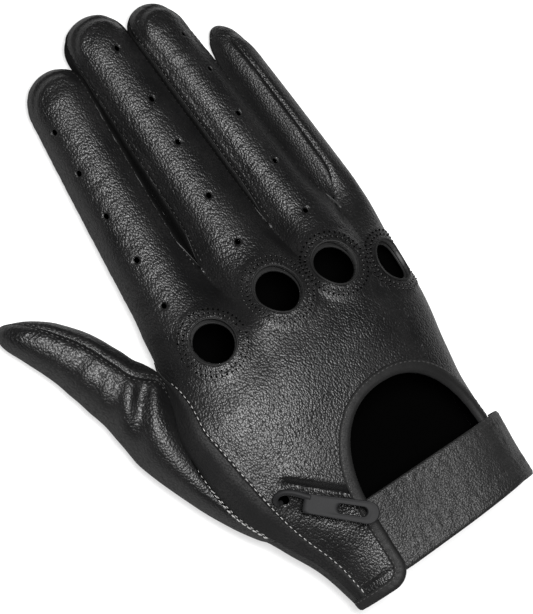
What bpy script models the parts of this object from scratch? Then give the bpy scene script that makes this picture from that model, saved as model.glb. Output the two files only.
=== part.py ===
"""A right-hand leather driving glove, lying palm down, as separate sewn panels with finger, thumb and strap joints.

The glove is described by cross-sections: one row of sections for the hand, one for each finger and one for the thumb.
Every leather panel is a stretch of that skin between two seams, given the thickness of the leather.
Lengths are in millimetres and angles in degrees, and meshes are made in metres.
X runs from the thumb side to the little-finger side, Y towards the fingertips, and Z out of the back of the hand.
The origin is the middle of the palm, on the surface that the glove lies on.
"""

import math

import bmesh
import bpy
import numpy as np
from mathutils import Matrix, Vector

MM = 0.001

# Leather and clearances
LEATHER = 1.0
SEAM_GAP = 0.3
FACING_LEATHER = 0.8
BINDING_LEATHER = 0.8
BINDING_WIDTH = 3.0
STRAP_THICKNESS = 1.6
FASTENER_PILE = 1.0

# Hand sections: y, centre x, half width, half height
HAND_SECTIONS = (
    (-70.0, 2.5, 40.5, 18.5),
    (-50.0, 1.5, 42.0, 18.5),
    (-35.0, -2.0, 46.5, 19.0),
    (-15.0, -7.0, 52.0, 20.0),
    (15.0, -6.0, 56.0, 20.5),
    (30.0, -3.5, 53.5, 19.5),
    (45.0, 0.0, 51.0, 18.5),
    (56.0, 1.0, 51.0, 17.5),
    (75.0, 2.0, 52.0, 15.0),
)
HAND_POWER = 2.3
PALM_PRESS = 1.5  # how far the palm and fingers are flattened against the surface they lie on
HEM_Y = -70.0
HEM_RISE = 8.0  # how much shorter the cuff is under the strap than at the thumb-side flap
HEM_RISE_X = (-19.0, 6.0)

# Seams of the hand, as angles round its section: y, angle
BACK_SIDE_SEAM = ((-70.0, 163.0), (-35.0, 153.0), (-15.0, 144.0), (15.0, 148.0), (35.0, 160.0), (48.0, 196.0))
THUMB_HOLE_TOP = 174.0
THUMB_HOLE_BOTTOM = 216.0
THUMB_HOLE_START_Y = -30.0
THUMB_HOLE_END_Y = 37.5
THUMB_HOLE_RAMP = 16.0
THUMB_SEAM_ROOM = 2.2
PALM_SIDE_SEAM = 196.0
LITTLE_SIDE_SEAM = -20.0
FOURCHETTE_ANGLE = 34.0

# Where the hand's skin turns into the fingers'
MERGE_START_Y = 36.0
MERGE_END_Y = 68.0
CROTCHES = ((-14.5, 67.0), (14.5, 67.0), (38.0, 58.0))
CROTCH_OPENING = 18.0

# Fingers. The joint is the middle finger joint, and the roll turns a finger's back outwards.
FINGERS = (
    {
        "name": "index", "root_x": -32.6, "tip_x": -22.4, "bow": -2.0, "root_z": 14.5, "tip_y": 158.5,
        "half_width": (14.2, 11.3), "half_height": (12.0, 8.6), "roll": -10.0, "joint_y": 91.5,
        "hole": (-32.8, 42.5, 7.9, 8.6),
    },
    {
        "name": "middle", "root_x": 0.8, "tip_x": 1.2, "bow": 0.4, "root_z": 16.5, "tip_y": 168.0,
        "half_width": (14.2, 11.6), "half_height": (12.6, 8.8), "roll": 0.0, "joint_y": 97.0,
        "hole": (-1.7, 45.5, 8.1, 9.1),
    },
    {
        "name": "ring", "root_x": 27.0, "tip_x": 23.3, "bow": 0.6, "root_z": 15.0, "tip_y": 160.5,
        "half_width": (11.8, 9.9), "half_height": (12.0, 8.4), "roll": 8.0, "joint_y": 93.0,
        "hole": (22.5, 42.2, 7.6, 8.4),
    },
    {
        "name": "little", "root_x": 48.4, "tip_x": 43.0, "bow": 1.2, "root_z": 12.5, "tip_y": 137.5,
        "half_width": (8.8, 7.6), "half_height": (9.2, 6.8), "roll": 26.0, "joint_y": 77.0,
        "hole": (44.2, 31.4, 7.2, 8.0),
    },
)
FINGER_POWER = 2.4
FINGER_ROOT_Y = 56.0
FINGERTIP_DOME = 12.0
FINGERTIP_END = 0.35  # the last section of a fingertip, short of its end
FOURCHETTE_END = 12.8  # how far short of the fingertip the fourchettes stop
CROTCH_TO_FOURCHETTE = 5.0
FACING_WIDTH = 3.3
FACING_GAP = 0.6
FACING_LIP = 0.7

# Bending lengths, each centred on its joint
KNUCKLE_Y = 39.0
KNUCKLE_Z = 17.5
KNUCKLE_HALF_BEND = 17.0
FINGER_HALF_BEND = 11.0

# Thumb sections: centre x from the side of the hand, y, z, direction across in the palm's plane, half width, half height
THUMB_SECTIONS = (
    (0.5, 12.0, 15.0, 62.0, 24.0, 13.0),
    (-1.0, 31.0, 14.0, 50.0, 18.5, 12.6),
    (-3.6, 44.5, 13.2, 40.0, 14.6, 12.0),
    (-6.4, 54.0, 12.6, 31.0, 13.2, 11.6),
    (-11.0, 66.5, 11.8, 21.0, 11.8, 10.8),
    (-17.6, 77.5, 10.8, 12.0, 10.4, 9.6),
    (-22.4, 84.0, 10.0, 4.0, 9.2, 8.4),
    (-25.6, 88.6, 9.2, -3.0, 6.2, 5.8),
    (-27.3, 91.0, 8.9, -8.0, 1.6, 1.6),
)
THUMB_SIDE_Y = 15.0  # the thumb is placed from the side of the hand here
THUMB_POWER = 2.2
THUMB_ROLL = 26.0
THUMB_ROOT_STATION = 1.2  # where the thumb's own sections take over from the edge of the thumb hole
THUMB_BASE_BEND = (1.0, 2.4)
THUMB_TIP_BEND = (3.2, 4.5)
THUMB_SEAM_ANGLES = (20.0, 200.0)

# Opening over the back of the wrist
OPENING_LEFT_X = -19.5
OPENING_RIGHT_X = 40.0
OPENING_TOP_Y = -2.0
OPENING_ARCH_Y = -38.0
OPENING_POWER = 2.2

# Wrist strap, from its sewn end under the thumb-side flap to its free end round the little-finger side
STRAP_LOW_Y = -65.0
STRAP_HIGH_Y = -35.5
STRAP_SEWN = 14.0
STRAP_FROM_EDGE = 2.4  # from the opening's edge to the start of the strap's bend
STRAP_BEND = 4.0
STRAP_TIP_ANGLE = 40.0
STRAP_END_ANGLE = -8.0
STRAP_FASTENER_MARGIN = 3.0
LOOP_PATCH_ANGLES = (-14.0, 13.0)
HOOK_PATCH_ANGLES = (-5.0, 22.0)

# Wrist elastic, sewn inside the palm
ELASTIC_LOW_Y = -46.0
ELASTIC_WIDTH = 7.0
ELASTIC_THICKNESS = 0.8
ELASTIC_ANGLES = (234.0, 306.0)
ELASTIC_GAP = 0.8

# Moulded hanger: a flat link with a slot, hooked through a punched hole beside the side seam
HANGER_EYE_X = -44.0
HANGER_EYE_Y = -19.0
HANGER_LENGTH = 30.5
HANGER_WIDTH = 8.4
HANGER_ARM_LENGTH = 12.0
HANGER_ARM_WIDTH = 4.0
HANGER_THICKNESS = 2.0
HANGER_TURN = -42.0
HANGER_SLOT_LENGTH = 14.0
HANGER_SLOT_WIDTH = 3.4
HANGER_SLOT_FROM_END = 2.6
HANGER_PEG_RADIUS = 1.5
HANGER_HEAD_RADIUS = 3.0
HANGER_HOLE_CLEARANCE = 0.5
HANGER_CLEARANCE = 0.5

COLOURS = {
    "leather": (0.022, 0.021, 0.021),
    "facing": (0.035, 0.034, 0.034),
    "binding": (0.035, 0.035, 0.036),
    "strap": (0.024, 0.023, 0.023),
    "pile": (0.012, 0.012, 0.012),
    "elastic": (0.02, 0.02, 0.02),
    "hanger": (0.03, 0.03, 0.031),
}
ROUGHNESS = {"leather": 0.45, "facing": 0.5, "binding": 0.45, "strap": 0.5, "pile": 0.95, "elastic": 0.9, "hanger": 0.25}


def clear_scene():
    for obj in list(bpy.data.objects):
        bpy.data.objects.remove(obj, do_unlink=True)


def smooth_step(value):
    value = min(max(value, 0.0), 1.0)
    return value * value * (3 - 2 * value)


def along(rows, place):
    """A smooth curve through rows of (place, value, ...), read at one place."""
    places = [row[0] for row in rows]
    values = np.array([row[1:] for row in rows])
    place = min(max(place, places[0]), places[-1])
    k = min(int(np.searchsorted(places, place, side="right")), len(places) - 1)
    low = k - 1
    before, after = max(low - 1, 0), min(k + 1, len(places) - 1)
    span = places[k] - places[low]
    s = (place - places[low]) / span
    slope_low = (values[k] - values[before]) / (places[k] - places[before]) * span
    slope_high = (values[after] - values[low]) / (places[after] - places[low]) * span
    return (
        (2 * s**3 - 3 * s**2 + 1) * values[low]
        + (s**3 - 2 * s**2 + s) * slope_low
        + (3 * s**2 - 2 * s**3) * values[k]
        + (s**3 - s**2) * slope_high
    )


def on_section(angle, half_width, half_height, power):
    """A point of a superellipse, as (across, up) from its centre."""
    c, s = math.cos(math.radians(angle)), math.sin(math.radians(angle))
    return (
        math.copysign(abs(c) ** (2 / power), c) * half_width,
        math.copysign(abs(s) ** (2 / power), s) * half_height,
    )


def rested(point, inset):
    """The point, kept above the surface that the glove lies on."""
    return np.array((point[0], point[1], max(point[2], inset)))


# The hand


def hand_section(y):
    centre_x, half_width, half_height = along(HAND_SECTIONS, y)
    return centre_x, half_height - PALM_PRESS, half_width, half_height


def hand_point(angle, y, inset):
    centre_x, centre_z, half_width, half_height = hand_section(y)
    across, up = on_section(angle, half_width - inset, half_height - inset, HAND_POWER)
    return rested((centre_x + across, y, centre_z + up), inset)


def hand_angle(x, y):
    """The angle, on the back of the hand, of the skin at this x."""
    centre_x, _, half_width, _ = hand_section(y)
    share = min(max((x - centre_x) / half_width, -1.0), 1.0)
    return math.degrees(math.acos(math.copysign(abs(share) ** (HAND_POWER / 2), share)))


def finger_line_x(number, y):
    """Where the line between two fingers runs down the hand, spread as the hand is wide."""
    x, crotch_y = CROTCHES[number]
    centre_x, _, half_width, _ = hand_section(min(y, crotch_y))
    crotch_centre, _, crotch_width, _ = hand_section(crotch_y)
    return centre_x + (x - crotch_centre) * half_width / crotch_width


def hand_columns(side, y):
    """The angles of the five edges of the four finger strips, on the back or the palm."""
    lines = [hand_angle(finger_line_x(n, y), y) for n in range(3)]
    if side == "back":
        return [float(along(BACK_SIDE_SEAM, y)[0]), *lines, LITTLE_SIDE_SEAM]
    return [palm_edge_angle(y), *(360 - a for a in lines), 360 + LITTLE_SIDE_SEAM]


def palm_edge_angle(y):
    """The palm's edge on the thumb side: round under the thumb hole, and up to the side seam past each end of it."""
    opened = smooth_step((y - THUMB_HOLE_START_Y) / THUMB_HOLE_RAMP + 0.5)
    closed = smooth_step((y - THUMB_HOLE_END_Y) / THUMB_HOLE_RAMP + 0.5)
    low = THUMB_HOLE_TOP + (THUMB_HOLE_BOTTOM - THUMB_HOLE_TOP) * opened
    return low + (PALM_SIDE_SEAM - THUMB_HOLE_BOTTOM) * closed


# The fingers


def finger_section(finger, y, inset):
    """(centre x, centre z, half width, half height) of a finger at this y."""
    share = (y - FINGER_ROOT_Y) / (finger["tip_y"] - FINGER_ROOT_Y)
    share = min(max(share, 0.0), 1.0)
    root_width, tip_width = finger["half_width"]
    root_height, tip_height = finger["half_height"]
    half_width = root_width + (tip_width - root_width) * share
    half_height = root_height + (tip_height - root_height) * share
    tip_z = tip_height - PALM_PRESS
    centre_x = finger["root_x"] + (finger["tip_x"] - finger["root_x"]) * share
    centre_x += finger["bow"] * 4 * share * (1 - share)
    centre_z = finger["root_z"] + (tip_z - finger["root_z"]) * share**0.8
    centre_z = min(centre_z, finger["root_z"])
    left = max(finger["tip_y"] - inset - y, 0.0) / FINGERTIP_DOME
    dome = (1 - (1 - min(left, 1.0)) ** 2.4) ** (1 / 2.4)
    return centre_x, centre_z, (half_width - inset) * dome, (half_height - inset) * dome


def finger_point(finger, angle, y, inset):
    centre_x, centre_z, half_width, half_height = finger_section(finger, y, inset)
    across, up = on_section(angle, half_width, half_height, FINGER_POWER)
    roll = math.radians(finger["roll"])
    x = centre_x + across * math.cos(roll) + up * math.sin(roll)
    z = centre_z - across * math.sin(roll) + up * math.cos(roll)
    return rested((x, y, z), inset)


def finger_edges(number, side):
    """The angles of a finger strip's edges, from its thumb side to its little-finger side."""
    thumb_side = PALM_SIDE_SEAM if number == 0 else 180 - FOURCHETTE_ANGLE
    little_side = LITTLE_SIDE_SEAM if number == 3 else FOURCHETTE_ANGLE
    if side == "back":
        return thumb_side, little_side
    low = PALM_SIDE_SEAM if number == 0 else 180 + FOURCHETTE_ANGLE
    return low, 360 + LITTLE_SIDE_SEAM if number == 3 else 360 - FOURCHETTE_ANGLE


def unshared_point(side, number, share, y, inset):
    """A point of a strip before its edges are brought together below the crotches."""
    merged = smooth_step((y - MERGE_START_Y) / (MERGE_END_Y - MERGE_START_Y))
    point = np.zeros(3)
    if merged < 1:
        columns = hand_columns(side, y)
        angle = columns[number] + (columns[number + 1] - columns[number]) * share
        point += hand_point(angle, y, inset) * (1 - merged)
    if merged > 0:
        low, high = finger_edges(number, side)
        point += finger_point(FINGERS[number], low + (high - low) * share, y, inset) * merged
    return point


def edge_shift(side, number, edge, y, inset):
    """How far a strip's edge moves to meet its neighbour's: all the way below the crotch, and not at all past its opening."""
    line = number if edge == 1 else number - 1
    if not 0 <= line < len(CROTCHES):
        return np.zeros(3)
    crotch_y = CROTCHES[line][1]
    together = 1 - smooth_step((y - crotch_y) / CROTCH_OPENING)
    if together == 0:
        return np.zeros(3)
    own = unshared_point(side, number, edge, y, inset)
    other = unshared_point(side, line if edge == 0 else line + 1, 1 - edge, y, inset)
    return (other - own) / 2 * together


def strip_point(side, number, share, y, inset):
    """A point of the back or palm leather, in one finger's strip, from 0 at its thumb-side edge to 1."""
    point = unshared_point(side, number, share, y, inset)
    for edge in (0, 1):
        near = max(0.0, 1 - abs(share - edge) / 0.5) ** 2
        if near > 0:
            point = point + edge_shift(side, number, edge, y, inset) * near
    return rested(point, inset)


def fourchette_point(number, edge, share, y, inset):
    """A point of the leather strip between a finger's back and palm, from 0 at the back seam to 1 at the palm seam."""
    back = strip_point("back", number, edge, y, inset)
    palm = strip_point("palm", number, edge, y, inset)
    finger = FINGERS[number]
    back_angle = finger_edges(number, "back")[edge]
    palm_angle = finger_edges(number, "palm")[edge] - 360 * edge
    wall = finger_point(finger, back_angle + (palm_angle - back_angle) * share, y, inset)
    flat = finger_point(finger, back_angle, y, inset) * (1 - share) + finger_point(finger, palm_angle, y, inset) * share
    line = number if edge == 1 else number - 1
    free = smooth_step((y - CROTCHES[line][1]) / CROTCH_OPENING)
    return rested(back * (1 - share) + palm * share + (wall - flat) * free, inset)


# The thumb


def hand_side_x():
    centre_x, _, half_width, _ = hand_section(THUMB_SIDE_Y)
    return centre_x - half_width


def thumb_section_point(station, angle, inset):
    rows = [(k, *row) for k, row in enumerate(THUMB_SECTIONS)]
    x, y, z, across_angle, half_width, half_height = along(rows, station)
    x += hand_side_x()
    share = min(station / (len(rows) - 1), 1.0)
    across, up = on_section(angle, max(half_width - inset, 0.3), max(half_height - inset, 0.3), THUMB_POWER)
    direction = math.radians(across_angle)
    end = inset * smooth_step((share - 0.8) / 0.2)
    forward = np.array((-math.sin(direction), math.cos(direction)))
    flat = np.array((math.cos(direction), math.sin(direction))) * across - forward * end
    return rested((x + flat[0], y + flat[1], z - PALM_PRESS + up), inset)


def thumb_hole_point(angle, inset):
    """The edge of the thumb hole in the side of the hand, from the thumb's own angle round it."""
    middle_y = (THUMB_HOLE_START_Y + THUMB_HOLE_END_Y) / 2
    half_length = (THUMB_HOLE_END_Y - THUMB_HOLE_START_Y) / 2 - inset
    c, s = math.cos(math.radians(angle)), math.sin(math.radians(angle))
    y = middle_y + half_length * math.copysign(abs(c) ** 0.8, c)
    middle = (THUMB_HOLE_TOP + THUMB_HOLE_BOTTOM) / 2
    reach = (THUMB_HOLE_BOTTOM - THUMB_HOLE_TOP) / 2 - 1.6 * inset
    point = hand_point(middle - reach * math.copysign(abs(s) ** 0.9, s), y, 0.0)
    return point + np.array((-SEAM_GAP - 0.25 * inset, 0, 0))


def thumb_point(station, angle, inset):
    own = thumb_section_point(station, angle, inset)
    taken = smooth_step(station / THUMB_ROOT_STATION)
    if taken == 1:
        return own
    return rested(thumb_hole_point(angle, inset) * (1 - taken) + own * taken, inset)


# Solids


def material(kind):
    name = kind + "_finish"
    found = bpy.data.materials.get(name)
    if found:
        return found
    made = bpy.data.materials.new(name)
    made.use_nodes = True
    shader = made.node_tree.nodes["Principled BSDF"]
    shader.inputs["Base Color"].default_value = (*COLOURS[kind], 1)
    shader.inputs["Roughness"].default_value = ROUGHNESS[kind]
    shader.inputs["Metallic"].default_value = 0.0
    return made


def make_object(name, points, faces, kind):
    """One closed solid from points in millimetres."""
    mesh = bpy.data.meshes.new(name)
    mesh.from_pydata([Vector(p) * MM for p in points], [], faces)
    shape = bmesh.new()
    shape.from_mesh(mesh)
    bmesh.ops.recalc_face_normals(shape, faces=shape.faces)
    if shape.calc_volume(signed=True) < 0:
        bmesh.ops.reverse_faces(shape, faces=shape.faces)
    shape.to_mesh(mesh)
    shape.free()
    mesh.shade_smooth()
    mesh.set_sharp_from_angle(angle=math.radians(40))
    mesh.materials.append(material(kind))
    obj = bpy.data.objects.new(name, mesh)
    bpy.context.scene.collection.objects.link(obj)
    return obj


def sheet(name, outer, inner, kind, ring=False):
    """A closed sheet from the same grid of points on its outer and its inner skin."""
    rows, columns = len(outer), len(outer[0])
    points = [p for skin in (outer, inner) for row in skin for p in row]

    def at(skin, r, c):
        return (skin * rows + r) * columns + c % columns

    faces = []
    spans = columns if ring else columns - 1
    for r in range(rows - 1):
        for c in range(spans):
            faces.append([at(0, r, c), at(0, r, c + 1), at(0, r + 1, c + 1), at(0, r + 1, c)])
            faces.append([at(1, r, c), at(1, r + 1, c), at(1, r + 1, c + 1), at(1, r, c + 1)])
    for r in (0, rows - 1):
        for c in range(spans):
            faces.append([at(0, r, c), at(1, r, c), at(1, r, c + 1), at(0, r, c + 1)])
    if not ring:
        for c in (0, columns - 1):
            for r in range(rows - 1):
                faces.append([at(0, r, c), at(0, r + 1, c), at(1, r + 1, c), at(1, r, c)])
    return make_object(name, points, faces, kind)


def panel(name, skin, columns, rows, kind="leather", depth=(0.0, LEATHER), ring=False):
    """A panel of skin(column, row, inset) over lists of columns and rows, between two depths below the surface."""
    grids = [[[skin(c, r, inset) for c in columns] for r in rows] for inset in depth]
    return sheet(name, *grids, kind, ring)


def steps(start, end, count, gap_start=0.0, gap_end=0.0):
    return list(np.linspace(start + gap_start, end - gap_end, count + 1))


def strip_columns(side, numbers, count):
    """Columns across one or more finger strips. The two outermost are drawn in by half a seam gap."""
    columns = []
    for number in numbers:
        width = 2 * FINGERS[number]["half_width"][0]
        trim = SEAM_GAP / 2 / width * 1.3
        shares = steps(0, 1, count, trim * (number == numbers[0]), trim * (number == numbers[-1]))
        columns += [(side, number, s) for s in shares[(number != numbers[0]) :]]
    return columns


def hem_y(x):
    low, high = HEM_RISE_X
    return HEM_Y + HEM_RISE * smooth_step((x - low) / (high - low))


def strip_skin(column, y, inset):
    return strip_point(*column, y, inset)


def hand_skin(column, y, inset):
    """The hand's skin, shortened towards a hem that is cut higher under the strap."""
    end = KNUCKLE_Y - KNUCKLE_HALF_BEND
    hem = hem_y(strip_point(*column, HEM_Y, 0.0)[0])
    return strip_point(*column, end - (end - y) * (end - hem) / (end - HEM_Y), inset)


def fourchette_columns(number, edge, count):
    trim = SEAM_GAP / 2 / FINGERS[number]["half_height"][0]
    return [(number, edge, s) for s in steps(0, 1, count, trim, trim)]


def fourchette_skin(column, y, inset):
    return fourchette_point(*column, y, inset)


def cut(obj, cutter, operation="DIFFERENCE"):
    modifier = obj.modifiers.new("cut", "BOOLEAN")
    modifier.operation = operation
    modifier.object = cutter
    modifier.solver = "EXACT"


def prism(name, outline, centre, along_x, along_y, low, high):
    """A cutter: an outline of (x, y) in millimetres, extruded from low to high along its normal."""
    normal = np.cross(along_x, along_y)
    points = [centre + x * along_x + y * along_y + h * normal for h in (low, high) for x, y in outline]
    count = len(outline)
    faces = [list(range(count)), list(range(2 * count - 1, count - 1, -1))]
    faces += [[k, (k + 1) % count, count + (k + 1) % count, count + k] for k in range(count)]
    cutter = make_object(name, points, faces, "leather")
    cutter.hide_render = True
    cutter.display_type = "WIRE"
    return cutter


def ellipse(half_x, half_y, count):
    turns = [2 * math.pi * k / count for k in range(count)]
    return [(half_x * math.cos(t), half_y * math.sin(t)) for t in turns]


# Panels of the hand


def knuckle_frame(number):
    """The centre of a knuckle hole on the skin, with the skin's own directions there."""
    x, y, _, _ = FINGERS[number]["hole"]

    def skin_at(x, y):
        shares = np.linspace(0, 1, 60)
        near = [strip_point("back", n, s, y, 0.0) for n in (number, max(number - 1, 0)) for s in shares]
        return min(near, key=lambda p: abs(p[0] - x))

    centre = skin_at(x, y)
    step = 3.0
    low = skin_at(x - step * 0.7, y)
    high = skin_at(x + step * 0.7, y)
    across = (high - low) / np.linalg.norm(high - low)
    forward = skin_at(x, y + step) - skin_at(x, y - step)
    forward[0] = 0.0
    forward -= across * (forward @ across)
    forward /= np.linalg.norm(forward)
    return centre, across, forward


def make_back():
    hand_rows = steps(HEM_Y, KNUCKLE_Y - KNUCKLE_HALF_BEND, 8, 0, SEAM_GAP / 2)
    back = panel("back_hand", hand_skin, strip_columns("back", range(4), 5), hand_rows)
    cut(back, opening_cutter())
    centre = hanger_eye()
    hole = ellipse(*(HANGER_PEG_RADIUS + HANGER_HOLE_CLEARANCE,) * 2, 10)
    cut(back, prism("hanger_hole_cutter", hole, centre, *hanger_directions(), -6, 6))
    bend_rows = steps(KNUCKLE_Y - KNUCKLE_HALF_BEND, KNUCKLE_Y + KNUCKLE_HALF_BEND, 4, SEAM_GAP / 2, SEAM_GAP / 2)
    band = panel("back_knuckle_band", strip_skin, strip_columns("back", range(4), 5), bend_rows)
    for number, finger in enumerate(FINGERS):
        _, _, half_across, half_along = finger["hole"]
        frame = knuckle_frame(number)
        outline = ellipse(half_across, half_along, 16)
        cut(band, prism(finger["name"] + "_hole_cutter", outline, *frame, -7, 7))
        make_facing(number, frame)


def make_facing(number, frame):
    """The leather ring sewn under the edge of a knuckle hole."""
    finger = FINGERS[number]
    _, y, half_across, half_along = finger["hole"]
    top = LEATHER + FACING_GAP
    reach = FACING_WIDTH + half_along
    rows = steps(y - reach - 1, y + reach + 1, 5)
    skin_strips = range(max(number - 1, 0), min(number + 1, 3) + 1)
    columns = strip_columns("back", skin_strips, 5)
    name = finger["name"] + "_knuckle_facing"
    ring = panel(name, strip_skin, columns, rows, "facing", (top, top + FACING_LEATHER))
    rim = ellipse(half_across + FACING_WIDTH, half_along + FACING_WIDTH, 16)
    lip = ellipse(half_across - FACING_LIP, half_along - FACING_LIP, 16)
    cut(ring, prism(name + "_rim_cutter", rim, *frame, -9, 7), "INTERSECT")
    cut(ring, prism(name + "_lip_cutter", lip, *frame, -10, 8))


def make_palm():
    hand_rows = steps(HEM_Y, KNUCKLE_Y - KNUCKLE_HALF_BEND, 10, 0, SEAM_GAP / 2)
    panel("palm_hand", hand_skin, strip_columns("palm", range(4), 4), hand_rows)
    bend_rows = steps(KNUCKLE_Y - KNUCKLE_HALF_BEND, KNUCKLE_Y + KNUCKLE_HALF_BEND, 4, SEAM_GAP / 2, SEAM_GAP / 2)
    panel("palm_knuckle_band", strip_skin, strip_columns("palm", range(4), 4), bend_rows)


def side_skin(share, y, inset):
    low = float(along(BACK_SIDE_SEAM, y)[0])
    high = THUMB_HOLE_TOP - THUMB_SEAM_ROOM
    trim = math.degrees(SEAM_GAP / 2 / hand_section(y)[3]) * 1.4
    return hand_point(low + trim + (high - low - 2 * trim) * share, y, inset)


def make_side_panel():
    """The strip along the thumb side, between the back's seam and the palm and thumb."""
    panel("side_panel", side_skin, steps(0, 1, 3), steps(HEM_Y, KNUCKLE_Y - KNUCKLE_HALF_BEND, 10, 0, SEAM_GAP / 2))


# The wrist opening and its binding


def opening_outline(count, grow=0.0):
    """The opening's edge in plan, from the hem on the thumb side, over the arch, to the hem on the other side."""
    middle_x = (OPENING_LEFT_X + OPENING_RIGHT_X) / 2
    half_width = (OPENING_RIGHT_X - OPENING_LEFT_X) / 2 + grow
    height = OPENING_TOP_Y - OPENING_ARCH_Y + grow
    points = [(middle_x - half_width, HEM_Y)]
    for k in range(count + 1):
        across, up = on_section(180 - 180 * k / count, half_width, height, OPENING_POWER)
        points.append((middle_x + across, OPENING_ARCH_Y + up))
    points.append((middle_x + half_width, HEM_Y))
    return points


def opening_cutter():
    outline = opening_outline(16)
    below_hem = HEM_Y - 10
    outline[0] = (outline[0][0], below_hem)
    outline[-1] = (outline[-1][0], below_hem)
    outline.reverse()
    low = HAND_SECTIONS[0][3] - PALM_PRESS + 1
    return prism("opening_cutter", outline, np.zeros(3), np.array((1.0, 0, 0)), np.array((0, 1.0, 0)), low, 60)


def make_opening_binding():
    """A folded leather tape over the opening's edge: a U-shaped section swept along it."""
    outline = opening_outline(22)
    ends = []
    for x in (outline[0][0], outline[-1][0]):
        ends.append([(x, y) for y in steps(hem_y(x), OPENING_ARCH_Y, 3)[:-1]])
    outline = [*ends[0], *outline[1:-1], *ends[1][::-1]]
    outer, inner = SEAM_GAP + BINDING_LEATHER, LEATHER + SEAM_GAP + BINDING_LEATHER
    nose = SEAM_GAP + BINDING_LEATHER
    section = (
        (-BINDING_WIDTH, outer),
        (nose, outer),
        (nose, -inner),
        (-BINDING_WIDTH, -inner),
        (-BINDING_WIDTH, BINDING_LEATHER - inner),
        (SEAM_GAP, BINDING_LEATHER - inner),
        (SEAM_GAP, outer - BINDING_LEATHER),
        (-BINDING_WIDTH, outer - BINDING_LEATHER),
    )
    places = []
    for x, y in outline:
        angle = hand_angle(x, y)
        a_degree = np.linalg.norm(hand_point(angle - 0.5, y, 0.0) - hand_point(angle + 0.5, y, 0.0))
        places.append((angle, y, a_degree))
    points, count = [], len(section)
    for k, (angle, y, a_degree) in enumerate(places):
        before, after = places[max(k - 1, 0)], places[min(k + 1, len(places) - 1)]
        ahead = np.array(((before[0] - after[0]) * a_degree, after[1] - before[1]))
        ahead /= np.linalg.norm(ahead)
        inward = np.array((ahead[1], -ahead[0]))
        for reach, height in section:
            shifted = angle - reach * inward[0] / a_degree
            points.append(hand_point(shifted, y + reach * inward[1], -height))
    faces = []
    for k in range(len(outline) - 1):
        base = k * count
        for s in range(count):
            t = (s + 1) % count
            faces.append([base + s, base + t, base + count + t, base + count + s])
    faces.append(list(range(count)))
    faces.append(list(range(len(points) - count, len(points)))[::-1])
    make_object("opening_binding", points, faces, "binding")


# The wrist strap


def strap_rise(angle):
    """How far the strap's underside stands above the hand's skin: under the thumb-side flap, then over the other."""
    under = -(LEATHER + BINDING_LEATHER + 2 * SEAM_GAP + STRAP_THICKNESS)
    over = 2 * FASTENER_PILE + 3 * SEAM_GAP
    start = hand_angle(OPENING_LEFT_X + 4, STRAP_HIGH_Y)
    finish = hand_angle(OPENING_RIGHT_X - 3, STRAP_HIGH_Y)
    return under + (over - under) * smooth_step((start - angle) / (start - finish))


def strap_skin(angle, y, inset):
    """The strap's outer face. Its edge beside the binding runs straight up the hand, and its tip runs round the hand."""
    middle_y = (STRAP_LOW_Y + STRAP_HIGH_Y) / 2
    start_x = OPENING_LEFT_X + STRAP_FROM_EDGE
    start = hand_angle(start_x, middle_y)
    across = min(max((start - angle) / (start - STRAP_TIP_ANGLE), 0.0), 1.0)
    shifted = angle + (hand_angle(start_x, y) - start) * (1 - across)
    return hand_point(shifted, y, inset - strap_rise(angle) - STRAP_THICKNESS)


def strap_angles():
    """The angles where the strap's lengths begin and end."""
    middle_y = (STRAP_LOW_Y + STRAP_HIGH_Y) / 2
    half_width = hand_section(middle_y)[2]
    bend = math.degrees(STRAP_BEND / half_width)
    edge = hand_angle(OPENING_LEFT_X + STRAP_FROM_EDGE, middle_y)
    sewn = edge + math.degrees(STRAP_SEWN / half_width)
    return sewn, edge, edge - bend, STRAP_TIP_ANGLE + bend, STRAP_TIP_ANGLE, STRAP_END_ANGLE


def make_strap():
    sewn, edge, band_start, band_end, tip_start, tip_end = strap_angles()
    gap = math.degrees(SEAM_GAP / 2 / hand_section(STRAP_LOW_Y)[3]) * 0.8
    rows = steps(STRAP_LOW_Y, STRAP_HIGH_Y, 3)
    lengths = (
        ("strap_sewn_end", sewn, edge, 3),
        ("strap_bend", edge, band_start, 2),
        ("strap_band", band_start, band_end, 8),
        ("strap_tip_bend", band_end, tip_start, 2),
        ("strap_tip", tip_start, tip_end, 6),
    )
    for name, start, end, count in lengths:
        panel(name, strap_skin, steps(start - gap, end + gap, count), rows, "strap", (0.0, STRAP_THICKNESS))


def make_fasteners():
    """The loop patch on the little-finger flap, and the hook patch inside the strap's tip."""
    rows = steps(STRAP_LOW_Y + STRAP_FASTENER_MARGIN, STRAP_HIGH_Y - STRAP_FASTENER_MARGIN, 2)
    for name, angles, level in (
        ("loop_patch", LOOP_PATCH_ANGLES, SEAM_GAP),
        ("hook_patch", HOOK_PATCH_ANGLES, FASTENER_PILE + 2 * SEAM_GAP),
    ):
        panel(name, hand_point, steps(angles[1], angles[0], 5), rows, "pile", (-level - FASTENER_PILE, -level))


def make_elastic():
    top = LEATHER + ELASTIC_GAP
    rows = steps(ELASTIC_LOW_Y, ELASTIC_LOW_Y + ELASTIC_WIDTH, 1)
    panel("wrist_elastic", hand_point, steps(*ELASTIC_ANGLES, 10), rows, "elastic", (top, top + ELASTIC_THICKNESS))


# The hanger


def hanger_eye():
    return hand_point(hand_angle(HANGER_EYE_X, HANGER_EYE_Y), HANGER_EYE_Y, 0.0)


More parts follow.
